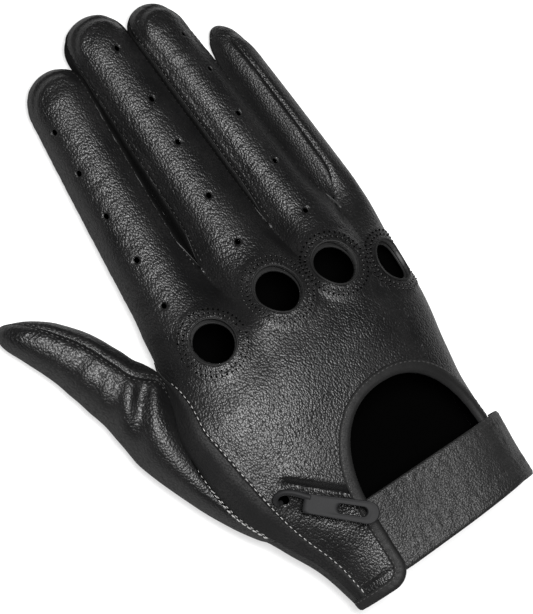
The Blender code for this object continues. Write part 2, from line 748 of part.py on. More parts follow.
def hanger_directions():
    """Two directions across the hanger's flat: along it, and to its side."""
    angle = hand_angle(HANGER_EYE_X, HANGER_EYE_Y)
    round_the_hand = hand_point(angle - 16, HANGER_EYE_Y, 0.0) - hand_point(angle + 2, HANGER_EYE_Y, 0.0)
    round_the_hand /= np.linalg.norm(round_the_hand)
    up_the_hand = np.array((0.0, 1.0, 0.0))
    up_the_hand = up_the_hand - round_the_hand * (up_the_hand @ round_the_hand)
    up_the_hand /= np.linalg.norm(up_the_hand)
    turn = math.radians(HANGER_TURN)
    lengthways = round_the_hand * math.cos(turn) + up_the_hand * math.sin(turn)
    normal = np.cross(round_the_hand, up_the_hand)
    return lengthways, np.cross(normal, lengthways)


def stadium(start, end, half_width, count):
    """An outline with round ends about two points on its long axis."""
    outline = []
    for k in range(count + 1):
        turn = math.pi / 2 + math.pi * k / count
        outline.append((start + half_width * math.cos(turn), half_width * math.sin(turn)))
    for k in range(count + 1):
        turn = -math.pi / 2 + math.pi * k / count
        outline.append((end + half_width * math.cos(turn), half_width * math.sin(turn)))
    return outline


def make_hanger():
    lengthways, sideways = hanger_directions()
    normal = np.cross(lengthways, sideways)
    lift = HANGER_CLEARANCE + BINDING_LEATHER + 2 * SEAM_GAP + 1.2
    centre = hanger_eye() + normal * lift
    half = HANGER_WIDTH / 2
    bar = stadium(HANGER_ARM_LENGTH, HANGER_LENGTH, half, 8)
    plate = prism("hanger", bar, centre, lengthways, sideways, 0.0, HANGER_THICKNESS)
    plate.hide_render = False
    plate.display_type = "TEXTURED"
    plate.data.materials.clear()
    plate.data.materials.append(material("hanger"))
    slot_end = HANGER_LENGTH + half - HANGER_SLOT_FROM_END - HANGER_SLOT_WIDTH / 2
    slot_start = slot_end - HANGER_SLOT_LENGTH + HANGER_SLOT_WIDTH
    slot = stadium(slot_start, slot_end, HANGER_SLOT_WIDTH / 2, 6)
    cut(plate, prism("hanger_slot_cutter", slot, centre, lengthways, sideways, -2, HANGER_THICKNESS + 2))
    arm = stadium(0.0, HANGER_ARM_LENGTH, HANGER_ARM_WIDTH / 2, 6)
    cut(plate, prism("hanger_arm", arm, centre, lengthways, sideways, 0.2, HANGER_THICKNESS - 0.2), "UNION")
    peg = ellipse(HANGER_PEG_RADIUS, HANGER_PEG_RADIUS, 10)
    head = ellipse(HANGER_HEAD_RADIUS, HANGER_HEAD_RADIUS, 10)
    head_top = -lift - HANGER_CLEARANCE - 1.4 * LEATHER  # the leather's inside falls away beside the head
    cut(plate, prism("hanger_peg", peg, centre, lengthways, sideways, head_top - 0.5, 1.0), "UNION")
    cut(plate, prism("hanger_head", head, centre, lengthways, sideways, head_top - 1.0, head_top), "UNION")


# Finger stalls


def finger_rows(number, part):
    """The rows of a finger's lower or upper length, or of the bend between them."""
    finger = FINGERS[number]
    low, high = finger["joint_y"] - FINGER_HALF_BEND, finger["joint_y"] + FINGER_HALF_BEND
    half_gap = SEAM_GAP / 2
    if part == "lower":
        starts = [CROTCHES[line][1] + CROTCH_TO_FOURCHETTE for line in (number - 1, number) if 0 <= line < 3]
        marks = sorted({KNUCKLE_Y + KNUCKLE_HALF_BEND + half_gap, *starts, low - half_gap})
        rows = [marks[0]]
        for start, end in zip(marks, marks[1:]):
            rows += steps(start, end, math.ceil((end - start) / 9.5))[1:]
        return rows
    if part == "bend":
        return steps(low, high, 2, half_gap, half_gap)
    dome_start = finger["tip_y"] - FINGERTIP_DOME
    shut = finger["tip_y"] - FOURCHETTE_END
    rows = [*steps(high + half_gap, shut, 3), shut + SEAM_GAP]
    turns = steps(0, 90, 4)[1:-1]
    rows += [dome_start + (FINGERTIP_DOME - LEATHER) * math.sin(math.radians(t)) for t in turns]
    return [*rows, finger["tip_y"] - LEATHER - FINGERTIP_END]


def fourchette_rows(number, edge, part):
    start = CROTCHES[number if edge == 1 else number - 1][1] + CROTCH_TO_FOURCHETTE
    rows = [y for y in finger_rows(number, part) if y > start - 0.01]
    if part == "lower":
        return rows
    end = FINGERS[number]["tip_y"] - FOURCHETTE_END
    return [*(y for y in rows if y < end - 1), end - SEAM_GAP]


def tip_skin(column, y, inset):
    """The skin of a fingertip's back or palm, which close over the ends of the fourchettes."""
    side, number, share = column
    finger = FINGERS[number]
    narrowed = y < finger["tip_y"] - FOURCHETTE_END + SEAM_GAP / 2
    low, high = finger_edges(number, side)
    shut = {"back": (180.0, 0.0), "palm": (180.0, 360.0)}[side]
    seam = 1.3
    shut = (shut[0] - seam, shut[1] + seam) if side == "back" else (shut[0] + seam, shut[1] - seam)
    if number != 0:
        low = shut[0] + (low - shut[0]) * narrowed
    if number != 3:
        high = shut[1] + (high - shut[1]) * narrowed
    return finger_point(finger, low + (high - low) * share, y, inset)


def bend_columns(number):
    """Columns all the way round a finger: back, fourchette, palm, fourchette."""
    columns = [("back", number, s) for s in steps(0, 1, 6)]
    if number != 3:
        columns += [("wall", number, 1, s) for s in steps(0, 1, 3)[1:-1]]
    palm = steps(1, 0, 5)
    columns += [("palm", number, s) for s in (palm[1:] if number == 3 else palm)]
    if number == 0:
        return columns[:-1]
    return columns + [("wall", number, 0, s) for s in steps(1, 0, 3)[1:-1]]


def bend_skin(column, y, inset):
    if column[0] == "wall":
        return fourchette_point(*column[1:], y, inset)
    return strip_point(*column, y, inset)


def make_finger(number):
    name = FINGERS[number]["name"]
    for side in ("back", "palm"):
        columns = strip_columns(side, [number], 6 if side == "back" else 5)
        panel(f"{name}_{side}_lower", strip_skin, columns, finger_rows(number, "lower"))
        panel(f"{name}_{side}_upper", tip_skin, columns, finger_rows(number, "upper"))
    for edge, side in ((0, "thumb_side"), (1, "little_side")):
        if (number, edge) in ((0, 0), (3, 1)):
            continue
        columns = fourchette_columns(number, edge, 3)
        for part in ("lower", "upper"):
            rows = fourchette_rows(number, edge, part)
            panel(f"{name}_{side}_fourchette_{part}", fourchette_skin, columns, rows)
    panel(f"{name}_bend", bend_skin, bend_columns(number), finger_rows(number, "bend"), ring=True)


# The thumb stall


def thumb_skin(angle, station, inset):
    return thumb_point(station, angle + THUMB_ROLL, inset)


def make_thumb():
    """Two leather halves, outer and inner, in three lengths with a bend between each pair."""
    last = len(THUMB_SECTIONS) - 1
    gap = SEAM_GAP / 2 / 12
    lengths = (
        ("root", [0.0, *steps(0.45, THUMB_BASE_BEND[0] - gap, 2)]),
        ("lower", steps(THUMB_BASE_BEND[1] + gap, THUMB_TIP_BEND[0] - gap, 1)),
        ("upper", steps(THUMB_TIP_BEND[1] + gap, last, 6)),
    )
    seam_outer, seam_inner = THUMB_SEAM_ANGLES
    trim = 0.9
    halves = (
        ("outer", steps(seam_outer, seam_inner, 7, trim, trim)),
        ("inner", steps(seam_inner, seam_outer + 360, 7, trim, trim)),
    )
    for part, stations in lengths:
        for half, angles in halves:
            panel(f"thumb_{half}_{part}", thumb_skin, angles, stations)
    around = steps(0, 360, 14)[:-1]
    for name, (start, end) in (("thumb_base_bend", THUMB_BASE_BEND), ("thumb_tip_bend", THUMB_TIP_BEND)):
        panel(name, thumb_skin, around, steps(start + gap, end - gap, 2), ring=True)


def main():
    clear_scene()
    make_back()
    make_palm()
    make_side_panel()
    make_opening_binding()
    make_strap()
    make_fasteners()
    make_elastic()
    for number in range(len(FINGERS)):
        make_finger(number)
    make_thumb()
    make_hanger()


main()
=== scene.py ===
# A leather driving glove for the right hand, lying palm down: its sewn leathers, wrist strap
# and hanger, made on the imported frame. Lengths are millimetres until a mesh is written.
import math

import bpy
import numpy as np
from mathutils import Matrix, Vector
from mathutils.bvhtree import BVHTree


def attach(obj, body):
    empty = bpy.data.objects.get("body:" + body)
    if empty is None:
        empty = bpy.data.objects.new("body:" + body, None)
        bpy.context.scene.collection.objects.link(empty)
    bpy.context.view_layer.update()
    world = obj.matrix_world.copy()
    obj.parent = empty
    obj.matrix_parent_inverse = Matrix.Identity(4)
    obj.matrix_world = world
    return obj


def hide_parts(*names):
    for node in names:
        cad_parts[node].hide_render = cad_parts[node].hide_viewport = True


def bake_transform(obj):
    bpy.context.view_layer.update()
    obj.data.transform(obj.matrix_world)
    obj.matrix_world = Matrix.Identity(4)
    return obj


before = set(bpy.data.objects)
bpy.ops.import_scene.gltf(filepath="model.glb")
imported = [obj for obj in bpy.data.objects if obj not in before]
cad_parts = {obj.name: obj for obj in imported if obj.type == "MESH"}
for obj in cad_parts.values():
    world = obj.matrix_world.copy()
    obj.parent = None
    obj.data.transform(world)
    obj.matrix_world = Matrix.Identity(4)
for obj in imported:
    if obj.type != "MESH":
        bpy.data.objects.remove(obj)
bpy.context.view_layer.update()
print("frame loaded:", len(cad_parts), "nodes")

# The hand, whose sections are y, centre x, half width and half height
hand = {
    "sections": [
        (-70.0, 3.75, 39.25, 18.5),
        (-50.0, 1.5, 42.0, 18.5),
        (-35.0, -2.0, 46.5, 19.0),
        (-15.0, -7.0, 52.0, 20.0),
        (15.0, -6.0, 56.0, 20.5),
        (30.0, -3.5, 53.5, 19.5),
        (45.0, 0.0, 51.0, 18.5),
        (56.0, 0.6, 50.6, 17.5),
        (75.0, 1.2, 50.8, 15.0),
    ],
    "squareness": 2.3,
    "pressed": 1.5,  # how far the palm is flattened by lying down
    "leather": 1.0,
    "offFloor": 0.02,
    "sideSeam": [
        (-70.0, 163.0), (-35.0, 153.0), (-15.0, 144.0), (15.0, 148.0), (35.0, 160.0), (48.0, 196.0),
    ],  # y and the seam's angle round the hand
    "thumbSeam": 174.0,
    "palmSeam": 196.0,
    "littleSeam": -20.0,
    "mergeFrom": 36.0,  # where the hand turns into fingers
    "mergeTo": 68.0,
    "commonTo": 67.0,  # rows run straight across the back and palm up to here
    "commonLength": 137.0,
    "crotches": [(-14.5, 67.0), (14.5, 67.0), (38.0, 58.0)],
    "crotchOpening": 18.0,
    "gusset": 8.0,  # how much later the fingers part on the palm side
    "hem": -67.6,
    "hemRise": 5.6,
    "hemRiseFrom": -19.0,
    "hemRiseTo": 6.0,
    "foldFrom": 22.0,  # the knuckle fold
    "foldTo": 56.0,
    "foldHeight": 17.5,
}


def smooth(t):
    t = np.clip(t, 0.0, 1.0)
    return t * t * (3 - 2 * t)


def bell(t, width):
    return np.exp(-((t / width) ** 2))


def curveThrough(rows, place):
    rows = np.asarray(rows, float)
    keys, values = rows[:, 0], rows[:, 1:]
    place = np.clip(np.asarray(place, float), keys[0], keys[-1])
    high = np.clip(np.searchsorted(keys, place, side="right"), 1, len(keys) - 1)
    low = high - 1
    before, after = np.maximum(low - 1, 0), np.minimum(high + 1, len(keys) - 1)
    span = keys[high] - keys[low]
    t = ((place - keys[low]) / span)[..., None]

    def rise(first, last):
        gap = (keys[last] - keys[first])[..., None]
        return (values[last] - values[first]) / gap * span[..., None]

    return (
        (2 * t**3 - 3 * t**2 + 1) * values[low]
        + (t**3 - 2 * t**2 + t) * rise(before, high)
        + (3 * t**2 - 2 * t**3) * values[high]
        + (t**3 - t**2) * rise(low, after)
    )


def onSection(angle, halfWidth, halfHeight, squareness):
    c, s = np.cos(np.radians(angle)), np.sin(np.radians(angle))
    across = np.sign(c) * np.abs(c) ** (2 / squareness) * halfWidth
    return across, np.sign(s) * np.abs(s) ** (2 / squareness) * halfHeight


def unit(vectors):
    return vectors / np.linalg.norm(vectors, axis=-1, keepdims=True)


def spread(*values):
    return np.broadcast_arrays(*(np.asarray(value, float) for value in values))


def offFloor(points, inset):
    # leather never goes below what the glove lies on
    points[..., 2] = np.maximum(points[..., 2], np.maximum(inset, hand["offFloor"]))
    return points


def pointsOf(x, y, z, inset):
    x, y, z, inset = np.broadcast_arrays(x, y, z, inset)
    return offFloor(np.stack([x, y, z], axis=-1), inset)


def ripple(u, v, seed, octaves=6):
    # soft random waves, about -1 to 1
    dice = np.random.default_rng(seed)
    total = 0.0
    for k in range(octaves):
        turn, phase = dice.uniform(0, 2 * math.pi, 2)
        pace = dice.uniform(0.7, 1.5)
        total = total + np.sin((u * math.cos(turn) + v * math.sin(turn)) * pace + phase)
    return total / math.sqrt(octaves) / 1.2


def handAt(y):
    rows = curveThrough(hand["sections"], y)
    return rows[..., 0], rows[..., 1], rows[..., 2]


def handPoint(angle, y, inset=0.0):
    centre, halfWidth, halfHeight = handAt(y)
    across, up = onSection(angle, halfWidth - inset, halfHeight - inset, hand["squareness"])
    return pointsOf(centre + across, y, halfHeight - hand["pressed"] + up, inset)


def handAngle(x, y):
    centre, halfWidth, _ = handAt(y)
    share = np.clip((x - centre) / halfWidth, -1, 1)
    return np.degrees(np.arccos(np.sign(share) * np.abs(share) ** (hand["squareness"] / 2)))


def lineBetween(number, y):
    x, crotchY = hand["crotches"][number]
    centre, halfWidth, _ = handAt(np.minimum(y, crotchY))
    crotchCentre, crotchWidth, _ = handAt(crotchY)
    return centre + (x - crotchCentre) * halfWidth / crotchWidth


# The hole that the thumb is sewn into has a straight upper edge
thumbHole = {"middle": 3.75, "half": 33.75, "depth": 42.0, "past": 10}


def holeDepth(y):
    t = np.clip(np.abs(y - thumbHole["middle"]) / thumbHole["half"], 0, 1)
    return thumbHole["depth"] * (1 - t**2.5) ** 0.5


def sideGain(y):
    # past the thumb's hole the side leather widens to meet the palm
    past = smooth((y - thumbHole["middle"] - thumbHole["half"]) / thumbHole["past"])
    return (hand["palmSeam"] - hand["thumbSeam"]) * past


def sideSeam(y):
    return curveThrough(hand["sideSeam"], y)[..., 0]


def handColumns(side, y):
    lines = [handAngle(lineBetween(n, y), y) for n in range(3)]
    if side == "back":
        return [sideSeam(y), *lines, hand["littleSeam"] + 0 * y]
    palmEdge = hand["thumbSeam"] + holeDepth(y) + sideGain(y)
    return [palmEdge, *(360 - a for a in lines), 360 + hand["littleSeam"] + 0 * y]


# The fingers, each from its root to its tip. Width and height are halves at the root and tip, seams
# are their angles above and below the finger's side, and a hole has x, y and its two half sizes
fingers = [
    {
        "name": "index", "rootX": -32.4, "tipX": -22.0, "bow": -0.4, "rootZ": 14.5, "tipY": 158.5,
        "width": (14.2, 11.6), "height": (12.0, 8.6), "roll": -10.0, "dome": 13.0, "narrows": 13.0,
        "joint": 91.5, "split": 68.0, "hole": (-32.8, 42.5, 8.4, 9.1),
        "seams": {"back": (0, 24), "palm": (0, 34)},
        "vents": [(-33.4, 138.0), (-34.9, 120.5), (-36.0, 102.0), (-36.4, 82.5), (-38.2, 63.0)],
    },
    {
        "name": "middle", "rootX": 0.4, "tipX": 1.3, "bow": 0.0, "rootZ": 16.5, "tipY": 168.0,
        "width": (14.6, 11.4), "height": (12.6, 8.8), "roll": 0.0, "dome": 13.0, "narrows": 13.0,
        "joint": 97.0, "split": 71.0, "hole": (-1.7, 45.5, 8.6, 9.6),
        "seams": {"back": (12, 22), "palm": (34, 34)},
        "vents": [(3.9, 151.5), (3.6, 129.0), (2.1, 110.5), (-0.4, 88.0), (-1.9, 68.0)],
    },
    {
        "name": "ring", "rootX": 27.0, "tipX": 23.3, "bow": 0.6, "rootZ": 15.0, "tipY": 160.5,
        "width": (11.8, 9.9), "height": (12.0, 8.4), "roll": 8.0, "dome": 13.0, "narrows": 13.0,
        "joint": 93.0, "split": 69.0, "hole": (22.5, 42.2, 8.0, 8.9),
        "seams": {"back": (14, 24), "palm": (34, 34)},
        "vents": [(29.8, 143.0), (30.2, 127.0), (28.7, 107.5), (29.4, 85.5), (27.2, 64.0)],
    },
    {
        "name": "little", "rootX": 45.7, "tipX": 44.6, "bow": 1.0, "rootZ": 12.5, "tipY": 139.6,
        "width": (7.6, 6.9), "height": (9.2, 6.8), "roll": 26.0, "dome": 20.0, "narrows": 6.0,
        "joint": 77.0, "split": 61.0, "hole": (44.2, 31.4, 7.6, 8.4),
        "seams": {"back": (66, 0), "palm": (34, 0)},
        "vents": [],
    },
]
fingerMake = {
    "squareness": 2.15,
    "rootY": 56.0,
    "drop": 0.8,  # how evenly a finger comes down to its tip
    "halfBend": 11.0,
    "bendHeight": 12.0,
    "across": 2.1,  # a finger leather's width, in half widths
}


def fingerAt(finger, y, inset=0.0):
    share = np.clip((y - fingerMake["rootY"]) / (finger["tipY"] - fingerMake["rootY"]), 0, 1)

    def along(root, tip, pace=1):
        return root + (tip - root) * share**pace

    halfWidth, halfHeight = along(*finger["width"]), along(*finger["height"])
    centre = along(finger["rootX"], finger["tipX"]) + finger["bow"] * 4 * share * (1 - share)
    centreZ = along(finger["rootZ"], finger["height"][1] - hand["pressed"], fingerMake["drop"])
    left = np.clip((finger["tipY"] - inset - y) / finger["dome"], 0, 1)
    power = fingerMake["squareness"]
    dome = (1 - (1 - left) ** power) ** (1 / power)
    return centre, centreZ, (halfWidth - inset) * dome, (halfHeight - inset) * dome


def fingerPoint(finger, angle, y, inset=0.0):
    centre, centreZ, halfWidth, halfHeight = fingerAt(finger, y, inset)
    across, up = onSection(angle, halfWidth, halfHeight, fingerMake["squareness"])
    roll = math.radians(finger["roll"])
    x = centre + across * math.cos(roll) + up * math.sin(roll)
    z = centreZ - across * math.sin(roll) + up * math.cos(roll)
    return pointsOf(x, y, z, inset)


def fingerEdges(number, side, y):
    # the angles of the two seams of a finger's back or palm leather, which meet at its tip
    finger = fingers[number]
    past = (y - finger["tipY"] + finger["narrows"]) / (finger["narrows"] - 2)
    wide = 1 - smooth(past)
    thumbSide, littleSide = (wide * angle for angle in finger["seams"][side])
    sign = -1 if side == "back" else 1
    low = 180 + (hand["palmSeam"] - 180) * wide if number == 0 else 180 + sign * thumbSide
    high = hand["littleSeam"] * wide if number == 3 else -sign * littleSide
    return low, high if side == "back" else 360 + high


def partings(number):
    # the edges of a finger's leather that meet the next finger's, and where on y they part
    lines = {edge: number - 1 + edge for edge in (0, 1)}
    return {edge: hand["crotches"][line][1] for edge, line in lines.items() if 0 <= line < 3}


def looseStrip(side, number, share, y, inset):
    merged = smooth((y - hand["mergeFrom"]) / (hand["mergeTo"] - hand["mergeFrom"]))[..., None]
    columns = handColumns(side, y)
    onHand = handPoint(columns[number] + (columns[number + 1] - columns[number]) * share, y, inset)
    low, high = fingerEdges(number, side, y)
    onFinger = fingerPoint(fingers[number], low + (high - low) * share, y, inset)
    return onHand * (1 - merged) + onFinger * merged


def stripPoint(side, number, share, y, inset=0.0):
    share, y, inset = spread(share, y, inset)
    point = looseStrip(side, number, share, y, inset)
    for edge, crotchY in partings(number).items():
        partsAt = crotchY + (hand["gusset"] if side == "palm" else 0)
        together = 1 - smooth((y - partsAt) / hand["crotchOpening"])
        own = looseStrip(side, number, edge + 0 * share, y, inset)
        other = looseStrip(side, number + 2 * edge - 1, 1 - edge + 0 * share, y, inset)
        near = np.maximum(0, 1 - np.abs(share - edge) / 0.5) ** 2
        point = point + (other - own) / 2 * (together * near)[..., None]
    return offFloor(point, inset)


def wallPoint(number, edge, share, y, inset=0.0):
    # a finger's side leather, from its back seam at 0 to its palm seam at 1
    share, y, inset = spread(share, y, inset)
    back = stripPoint("back", number, edge + 0 * share, y, inset)
    palm = stripPoint("palm", number, edge + 0 * share, y, inset)
    backAngle = fingerEdges(number, "back", y)[edge]
    palmAngle = fingerEdges(number, "palm", y)[edge] - 360 * edge
    finger = fingers[number]
    wall = fingerPoint(finger, backAngle + (palmAngle - backAngle) * share, y, inset)
    s = share[..., None]
    flat = fingerPoint(finger, backAngle, y, inset) * (1 - s)
    flat = flat + fingerPoint(finger, palmAngle, y, inset) * s
    free = smooth((y - partings(number)[edge]) / hand["crotchOpening"])[..., None]
    return offFloor(back * (1 - s) + palm * s + (wall - flat) * free, inset)


# The thumb, from the hole in the hand's side: centre, direction across it in degrees, half width
# and half height
thumb = {
    "sections": [
        (-61.5, 12.0, 15.0, 62.0, 24.0, 13.0),
        (-63.0, 31.0, 14.0, 50.0, 18.5, 12.6),
        (-66.2, 44.0, 13.2, 40.0, 13.8, 12.0),
        (-69.2, 53.5, 12.6, 31.0, 12.2, 11.4),
        (-73.9, 66.0, 11.6, 21.0, 10.7, 10.4),
        (-80.0, 76.6, 10.5, 12.0, 9.4, 9.0),
        (-84.0, 82.4, 9.7, 4.0, 8.3, 8.0),
        (-86.8, 86.8, 9.0, -3.0, 5.7, 5.5),
        (-88.3, 89.1, 8.7, -8.0, 1.5, 1.5),
        (-88.6, 89.5, 8.7, -8.0, 0.1, 0.1),
    ],
    "squareness": 2.2,
    "least": 0.08,
    "ownFrom": 1.2,  # how many sections it takes to leave the hand's shape
    "split": 2.8,
    "bends": ((1.0, 2.4), (3.2, 4.5)),
    "folds": 0.9,
}
thumbRows = [(k, *row) for k, row in enumerate(thumb["sections"])]


def thumbMiddle(station):
    row = curveThrough(thumbRows, station)
    return np.stack([row[..., 0], row[..., 1], row[..., 2] - hand["pressed"]], axis=-1)


def thumbPoint(station, angle, inset=0.0):
    station, angle, inset = spread(station, angle, inset)
    row = curveThrough(thumbRows, station)
    halves = (np.maximum(row[..., k] - inset, thumb["least"]) for k in (4, 5))
    across, up = onSection(angle, *halves, thumb["squareness"])
    way = np.radians(row[..., 3])
    end = inset * smooth((station / 9 - 0.8) / 0.2)
    x = row[..., 0] + np.cos(way) * across + np.sin(way) * end
    y = row[..., 1] + np.sin(way) * across - np.cos(way) * end
    own = pointsOf(x, y, row[..., 2] - hand["pressed"] + up, inset)
    c, s = np.cos(np.radians(angle)), np.sin(np.radians(angle))
    holeY = thumbHole["middle"] + thumbHole["half"] * np.sign(c) * np.abs(c) ** 0.8
    holeAngle = hand["thumbSeam"] + np.where(s < 0, holeDepth(holeY), 0)
    taken = smooth(station / thumb["ownFrom"])[..., None]
    return handPoint(holeAngle, holeY, inset) * (1 - taken) + own * taken


def thumbSeam(station):
    return 29 + 43 * smooth(np.asarray(station, float) / 2.5)


# Shader building: one wrapper for sockets, one method for nodes
class Wire:
    def __init__(self, finish, socket):
        self.finish = finish
        self.socket = socket

    def maths(self, operation, *others):
        values = dict(enumerate([self, *others]))
        return self.finish.add("ShaderNodeMath", {"operation": operation}, values)

    def __add__(self, other):
        return self.maths("ADD", other)

    def __sub__(self, other):
        return self.maths("SUBTRACT", other)

    def __rsub__(self, other):
        return self.finish.add("ShaderNodeMath", {"operation": "SUBTRACT"}, {0: other, 1: self})

    def __mul__(self, other):
        return self.maths("MULTIPLY", other)

    def __pow__(self, other):
        return self.maths("POWER", other)

    __radd__ = __add__
    __rmul__ = __mul__

    def least(self, other):
        return self.maths("MINIMUM", other)

    def most(self, other):
        return self.maths("MAXIMUM", other)

    def clamped(self):
        return self.most(0.0).least(1.0)

    def out(self, name):
        return Wire(self.finish, self.socket.node.outputs[name])


class Finish:
    def __init__(self, name):
        self.material = bpy.data.materials.new(name)
        self.material.use_nodes = True
        self.tree = self.material.node_tree
        self.shader = self.tree.nodes["Principled BSDF"]

    def add(self, kind, settings=None, values=None):
        node = self.tree.nodes.new(kind)
        for key, value in (settings or {}).items():
            setattr(node, key, value)
        for key, value in (values or {}).items():
            self.feed(node.inputs[key], value)
        return Wire(self, next(o for o in node.outputs if o.enabled))

    def feed(self, socket, value):
        if isinstance(value, Wire):
            self.tree.links.new(value.socket, socket)
        else:
            socket.default_value = value

    def blend(self, share, first, second):
        first = (*first, 1) if isinstance(first, tuple) else first
        second = (*second, 1) if isinstance(second, tuple) else second
        return self.add("ShaderNodeMix", {"data_type": "RGBA"}, {0: share, 6: first, 7: second})

    def place(self, scale=(1, 1, 1)):
        # position in millimetres, stretched by scale
        here = self.add("ShaderNodeTexCoord").out("Object")
        factor = tuple(1000.0 * s for s in scale)
        return self.add("ShaderNodeVectorMath", {"operation": "MULTIPLY"}, {0: here, 1: factor})

    def noise(self, place, scale, detail=2.0, rough=0.5):
        values = {"Vector": place, "Scale": scale, "Detail": detail, "Roughness": rough}
        return self.add("ShaderNodeTexNoise", {}, values).out("Fac")

    def put(self, **values):
        for name, value in values.items():
            self.feed(self.shader.inputs[name.replace("_", " ")], value)


def leatherFinish(name, look):
    finish = Finish(name)
    here = finish.place(look["stretch"])
    drift = {"Vector": here, "Scale": 0.5, "Detail": 2.0}
    drift = finish.add("ShaderNodeTexNoise", {}, drift).out("Color")
    bend = {0: drift, 1: (0.8, 0.8, 0.8), 2: here}
    bent = finish.add("ShaderNodeVectorMath", {"operation": "MULTIPLY_ADD"}, bend)
    cells = {"Vector": bent, "Scale": look["grain"], "Randomness": 1.0}
    pebble = 1 - finish.add("ShaderNodeTexVoronoi", {"feature": "F1"}, cells).out("Distance") ** 2.0
    cells = {"Vector": bent, "Scale": look["grain"] * 2.1}
    small = 1 - finish.add("ShaderNodeTexVoronoi", {"feature": "F1"}, cells).out("Distance")
    pores = finish.noise(here, 3.0, 2.0, 0.6)
    patches = finish.noise(here, 0.07, 3.0, 0.55)
    creases = finish.noise(finish.place(look["creaseWay"]), 1.0, 3.0, 0.6)
    height = pebble * 0.6 + small * 0.12 + pores * 0.12 + creases * look["creases"]
    bump = {"Strength": look["bump"], "Distance": look["depth"], "Height": height}
    bump = finish.add("ShaderNodeBump", {}, bump)
    # lighter on the pebbles' tops and darker between them, in random patches
    lighterTops = ((pebble - 0.55) * 1.8).clamped() * ((patches - 0.35) * 2.5).clamped()
    colour = finish.blend(lighterTops, look["dark"], look["light"])
    facing = finish.add("ShaderNodeNewGeometry").out("Normal")
    steep = (0.75 - finish.add("ShaderNodeSeparateXYZ", {}, {0: facing}).out("Z")).clamped()
    dull = look["roughness"] + (1 - pebble) * 0.2 + (patches - 0.5) * 0.16 + (pores - 0.5) * 0.08
    dull = dull + steep * 0.6  # the sides are less rubbed than the top
    finish.put(Base_Color=colour, Roughness=dull.clamped(), Normal=bump)
    finish.put(Specular_IOR_Level=look["gloss"])
    return finish.material


# grain is how fine the pebbles are, creaseWay how the creases run and depth is metres
looks = {
    "leather": {"grain": 1.3, "bump": 1.0, "depth": 0.00026, "creaseWay": (0.18, 0.7, 0.3),
                "stretch": (1.1, 0.85, 1.0), "roughness": 0.3, "gloss": 0.24},
    "palmLeather": {"grain": 0.9, "bump": 0.8, "depth": 0.00035, "creaseWay": (0.3, 0.3, 0.3),
                    "roughness": 0.45, "gloss": 0.3},
    "sidePanel": {"grain": 1.3, "bump": 0.75, "creases": 0.5, "creaseWay": (0.4, 0.25, 0.3),
                  "roughness": 0.55, "gloss": 0.16},
    "thumb": {"grain": 1.1, "bump": 0.7, "depth": 0.00035, "creases": 0.9,
              "creaseWay": (0.5, 0.2, 0.3), "roughness": 0.33, "gloss": 0.24},
    "strap": {"grain": 1.5, "bump": 0.9, "depth": 0.0003, "creases": 0.9,
              "creaseWay": (0.5, 0.35, 0.3), "dark": (0.007, 0.007, 0.007),
              "light": (0.02, 0.0195, 0.0195), "roughness": 0.4, "gloss": 0.22},
    "binding": {"grain": 1.8, "bump": 0.35, "creaseWay": (0.8, 0.8, 0.3),
                "dark": (0.006, 0.006, 0.006), "light": (0.013, 0.0125, 0.0125),
                "roughness": 0.52, "gloss": 0.15},
}
# the finger walls' darker colours are painted shade for the dark slits between the fingers
looks["wall"] = {**looks["sidePanel"], "dark": (0.0016, 0.0016, 0.0016),
                 "light": (0.004, 0.004, 0.004), "gloss": 0.06}
looks["littleWall"] = {**looks["leather"], "grain": 1.5, "roughness": 0.36}
usual = {"depth": 0.0002, "creases": 0.3, "stretch": (1.0, 1.0, 1.0),
         "dark": (0.0035, 0.0035, 0.0036), "light": (0.013, 0.0125, 0.0125)}
leathers = {key: leatherFinish(key + "Leather", {**usual, **look}) for key, look in looks.items()}


def plainFinish(name, colour, roughness, speckle, scale, depth, gloss):
    finish = Finish(name)
    grains = finish.noise(finish.place(), scale, 3.0, 0.6)
    shade = finish.blend(grains, tuple(0.7 * c for c in colour), tuple(1.3 * c for c in colour))
    bump = {"Strength": speckle, "Distance": depth, "Height": grains}
    bump = finish.add("ShaderNodeBump", {}, bump)
    dull = (roughness + (grains - 0.5) * 0.1).clamped()
    finish.put(Base_Color=shade, Roughness=dull, Normal=bump)
    finish.put(Specular_IOR_Level=gloss)
    return finish.material


# colour, roughness, then the grains' strength, scale and depth in metres, then gloss
plainLooks = {
    "liningCloth": ((0.0004, 0.0004, 0.0004), 0.95, 0.5, 3.0, 0.0002, 0.01),
    "cutEdge": ((0.008, 0.008, 0.008), 0.6, 0.3, 3.0, 0.0002, 0.5),
    "thread": ((0.028, 0.0275, 0.027), 0.45, 0.6, 6.0, 0.0001, 0.35),
    # the pale thread's colour is a painted glint: light dashes standing in for highlights on shiny
    # black stitches
    "paintedGlintThread": ((0.2, 0.197, 0.193), 0.35, 0.6, 6.0, 0.0001, 0.8),
    # near-black and without gloss: painted shade for the inside of the needle holes
    "paintedHoleShade": ((0.001, 0.001, 0.001), 0.9, 0.3, 3.0, 0.0002, 0.0),
    "mouldedPlastic": ((0.0085, 0.0085, 0.009), 0.6, 0.15, 1.2, 0.0001, 0.12),
    "pileCloth": ((0.006, 0.006, 0.006), 0.95, 0.9, 2.5, 0.0006, 0.1),
    "elasticCloth": ((0.006, 0.006, 0.006), 0.9, 0.9, 2.0, 0.0004, 0.1),
}
plain = {name: plainFinish(name, *values) for name, values in plainLooks.items()}
# the finishes after a leather's own: its cut edge, lining and threads, the pale thread whose colour
# paints glints on the stitches, and the near-black painted shade of the needle holes
sewnNames = ("cutEdge", "liningCloth", "thread", "paintedGlintThread", "paintedHoleShade")
sewnWith = [plain[name] for name in sewnNames]
print("finishes made")


weldPerMm = 200  # corners in the same 1/200 mm become one


def runAlong(points):
    # how far along a line each of its points is
    gaps = np.linalg.norm(np.diff(points, axis=0), axis=1)
    return np.concatenate([[0], np.cumsum(gaps)])


def readAlong(points, at):
    run = runAlong(points)
    return np.stack([np.interp(at, run, column) for column in points.T], axis=1)


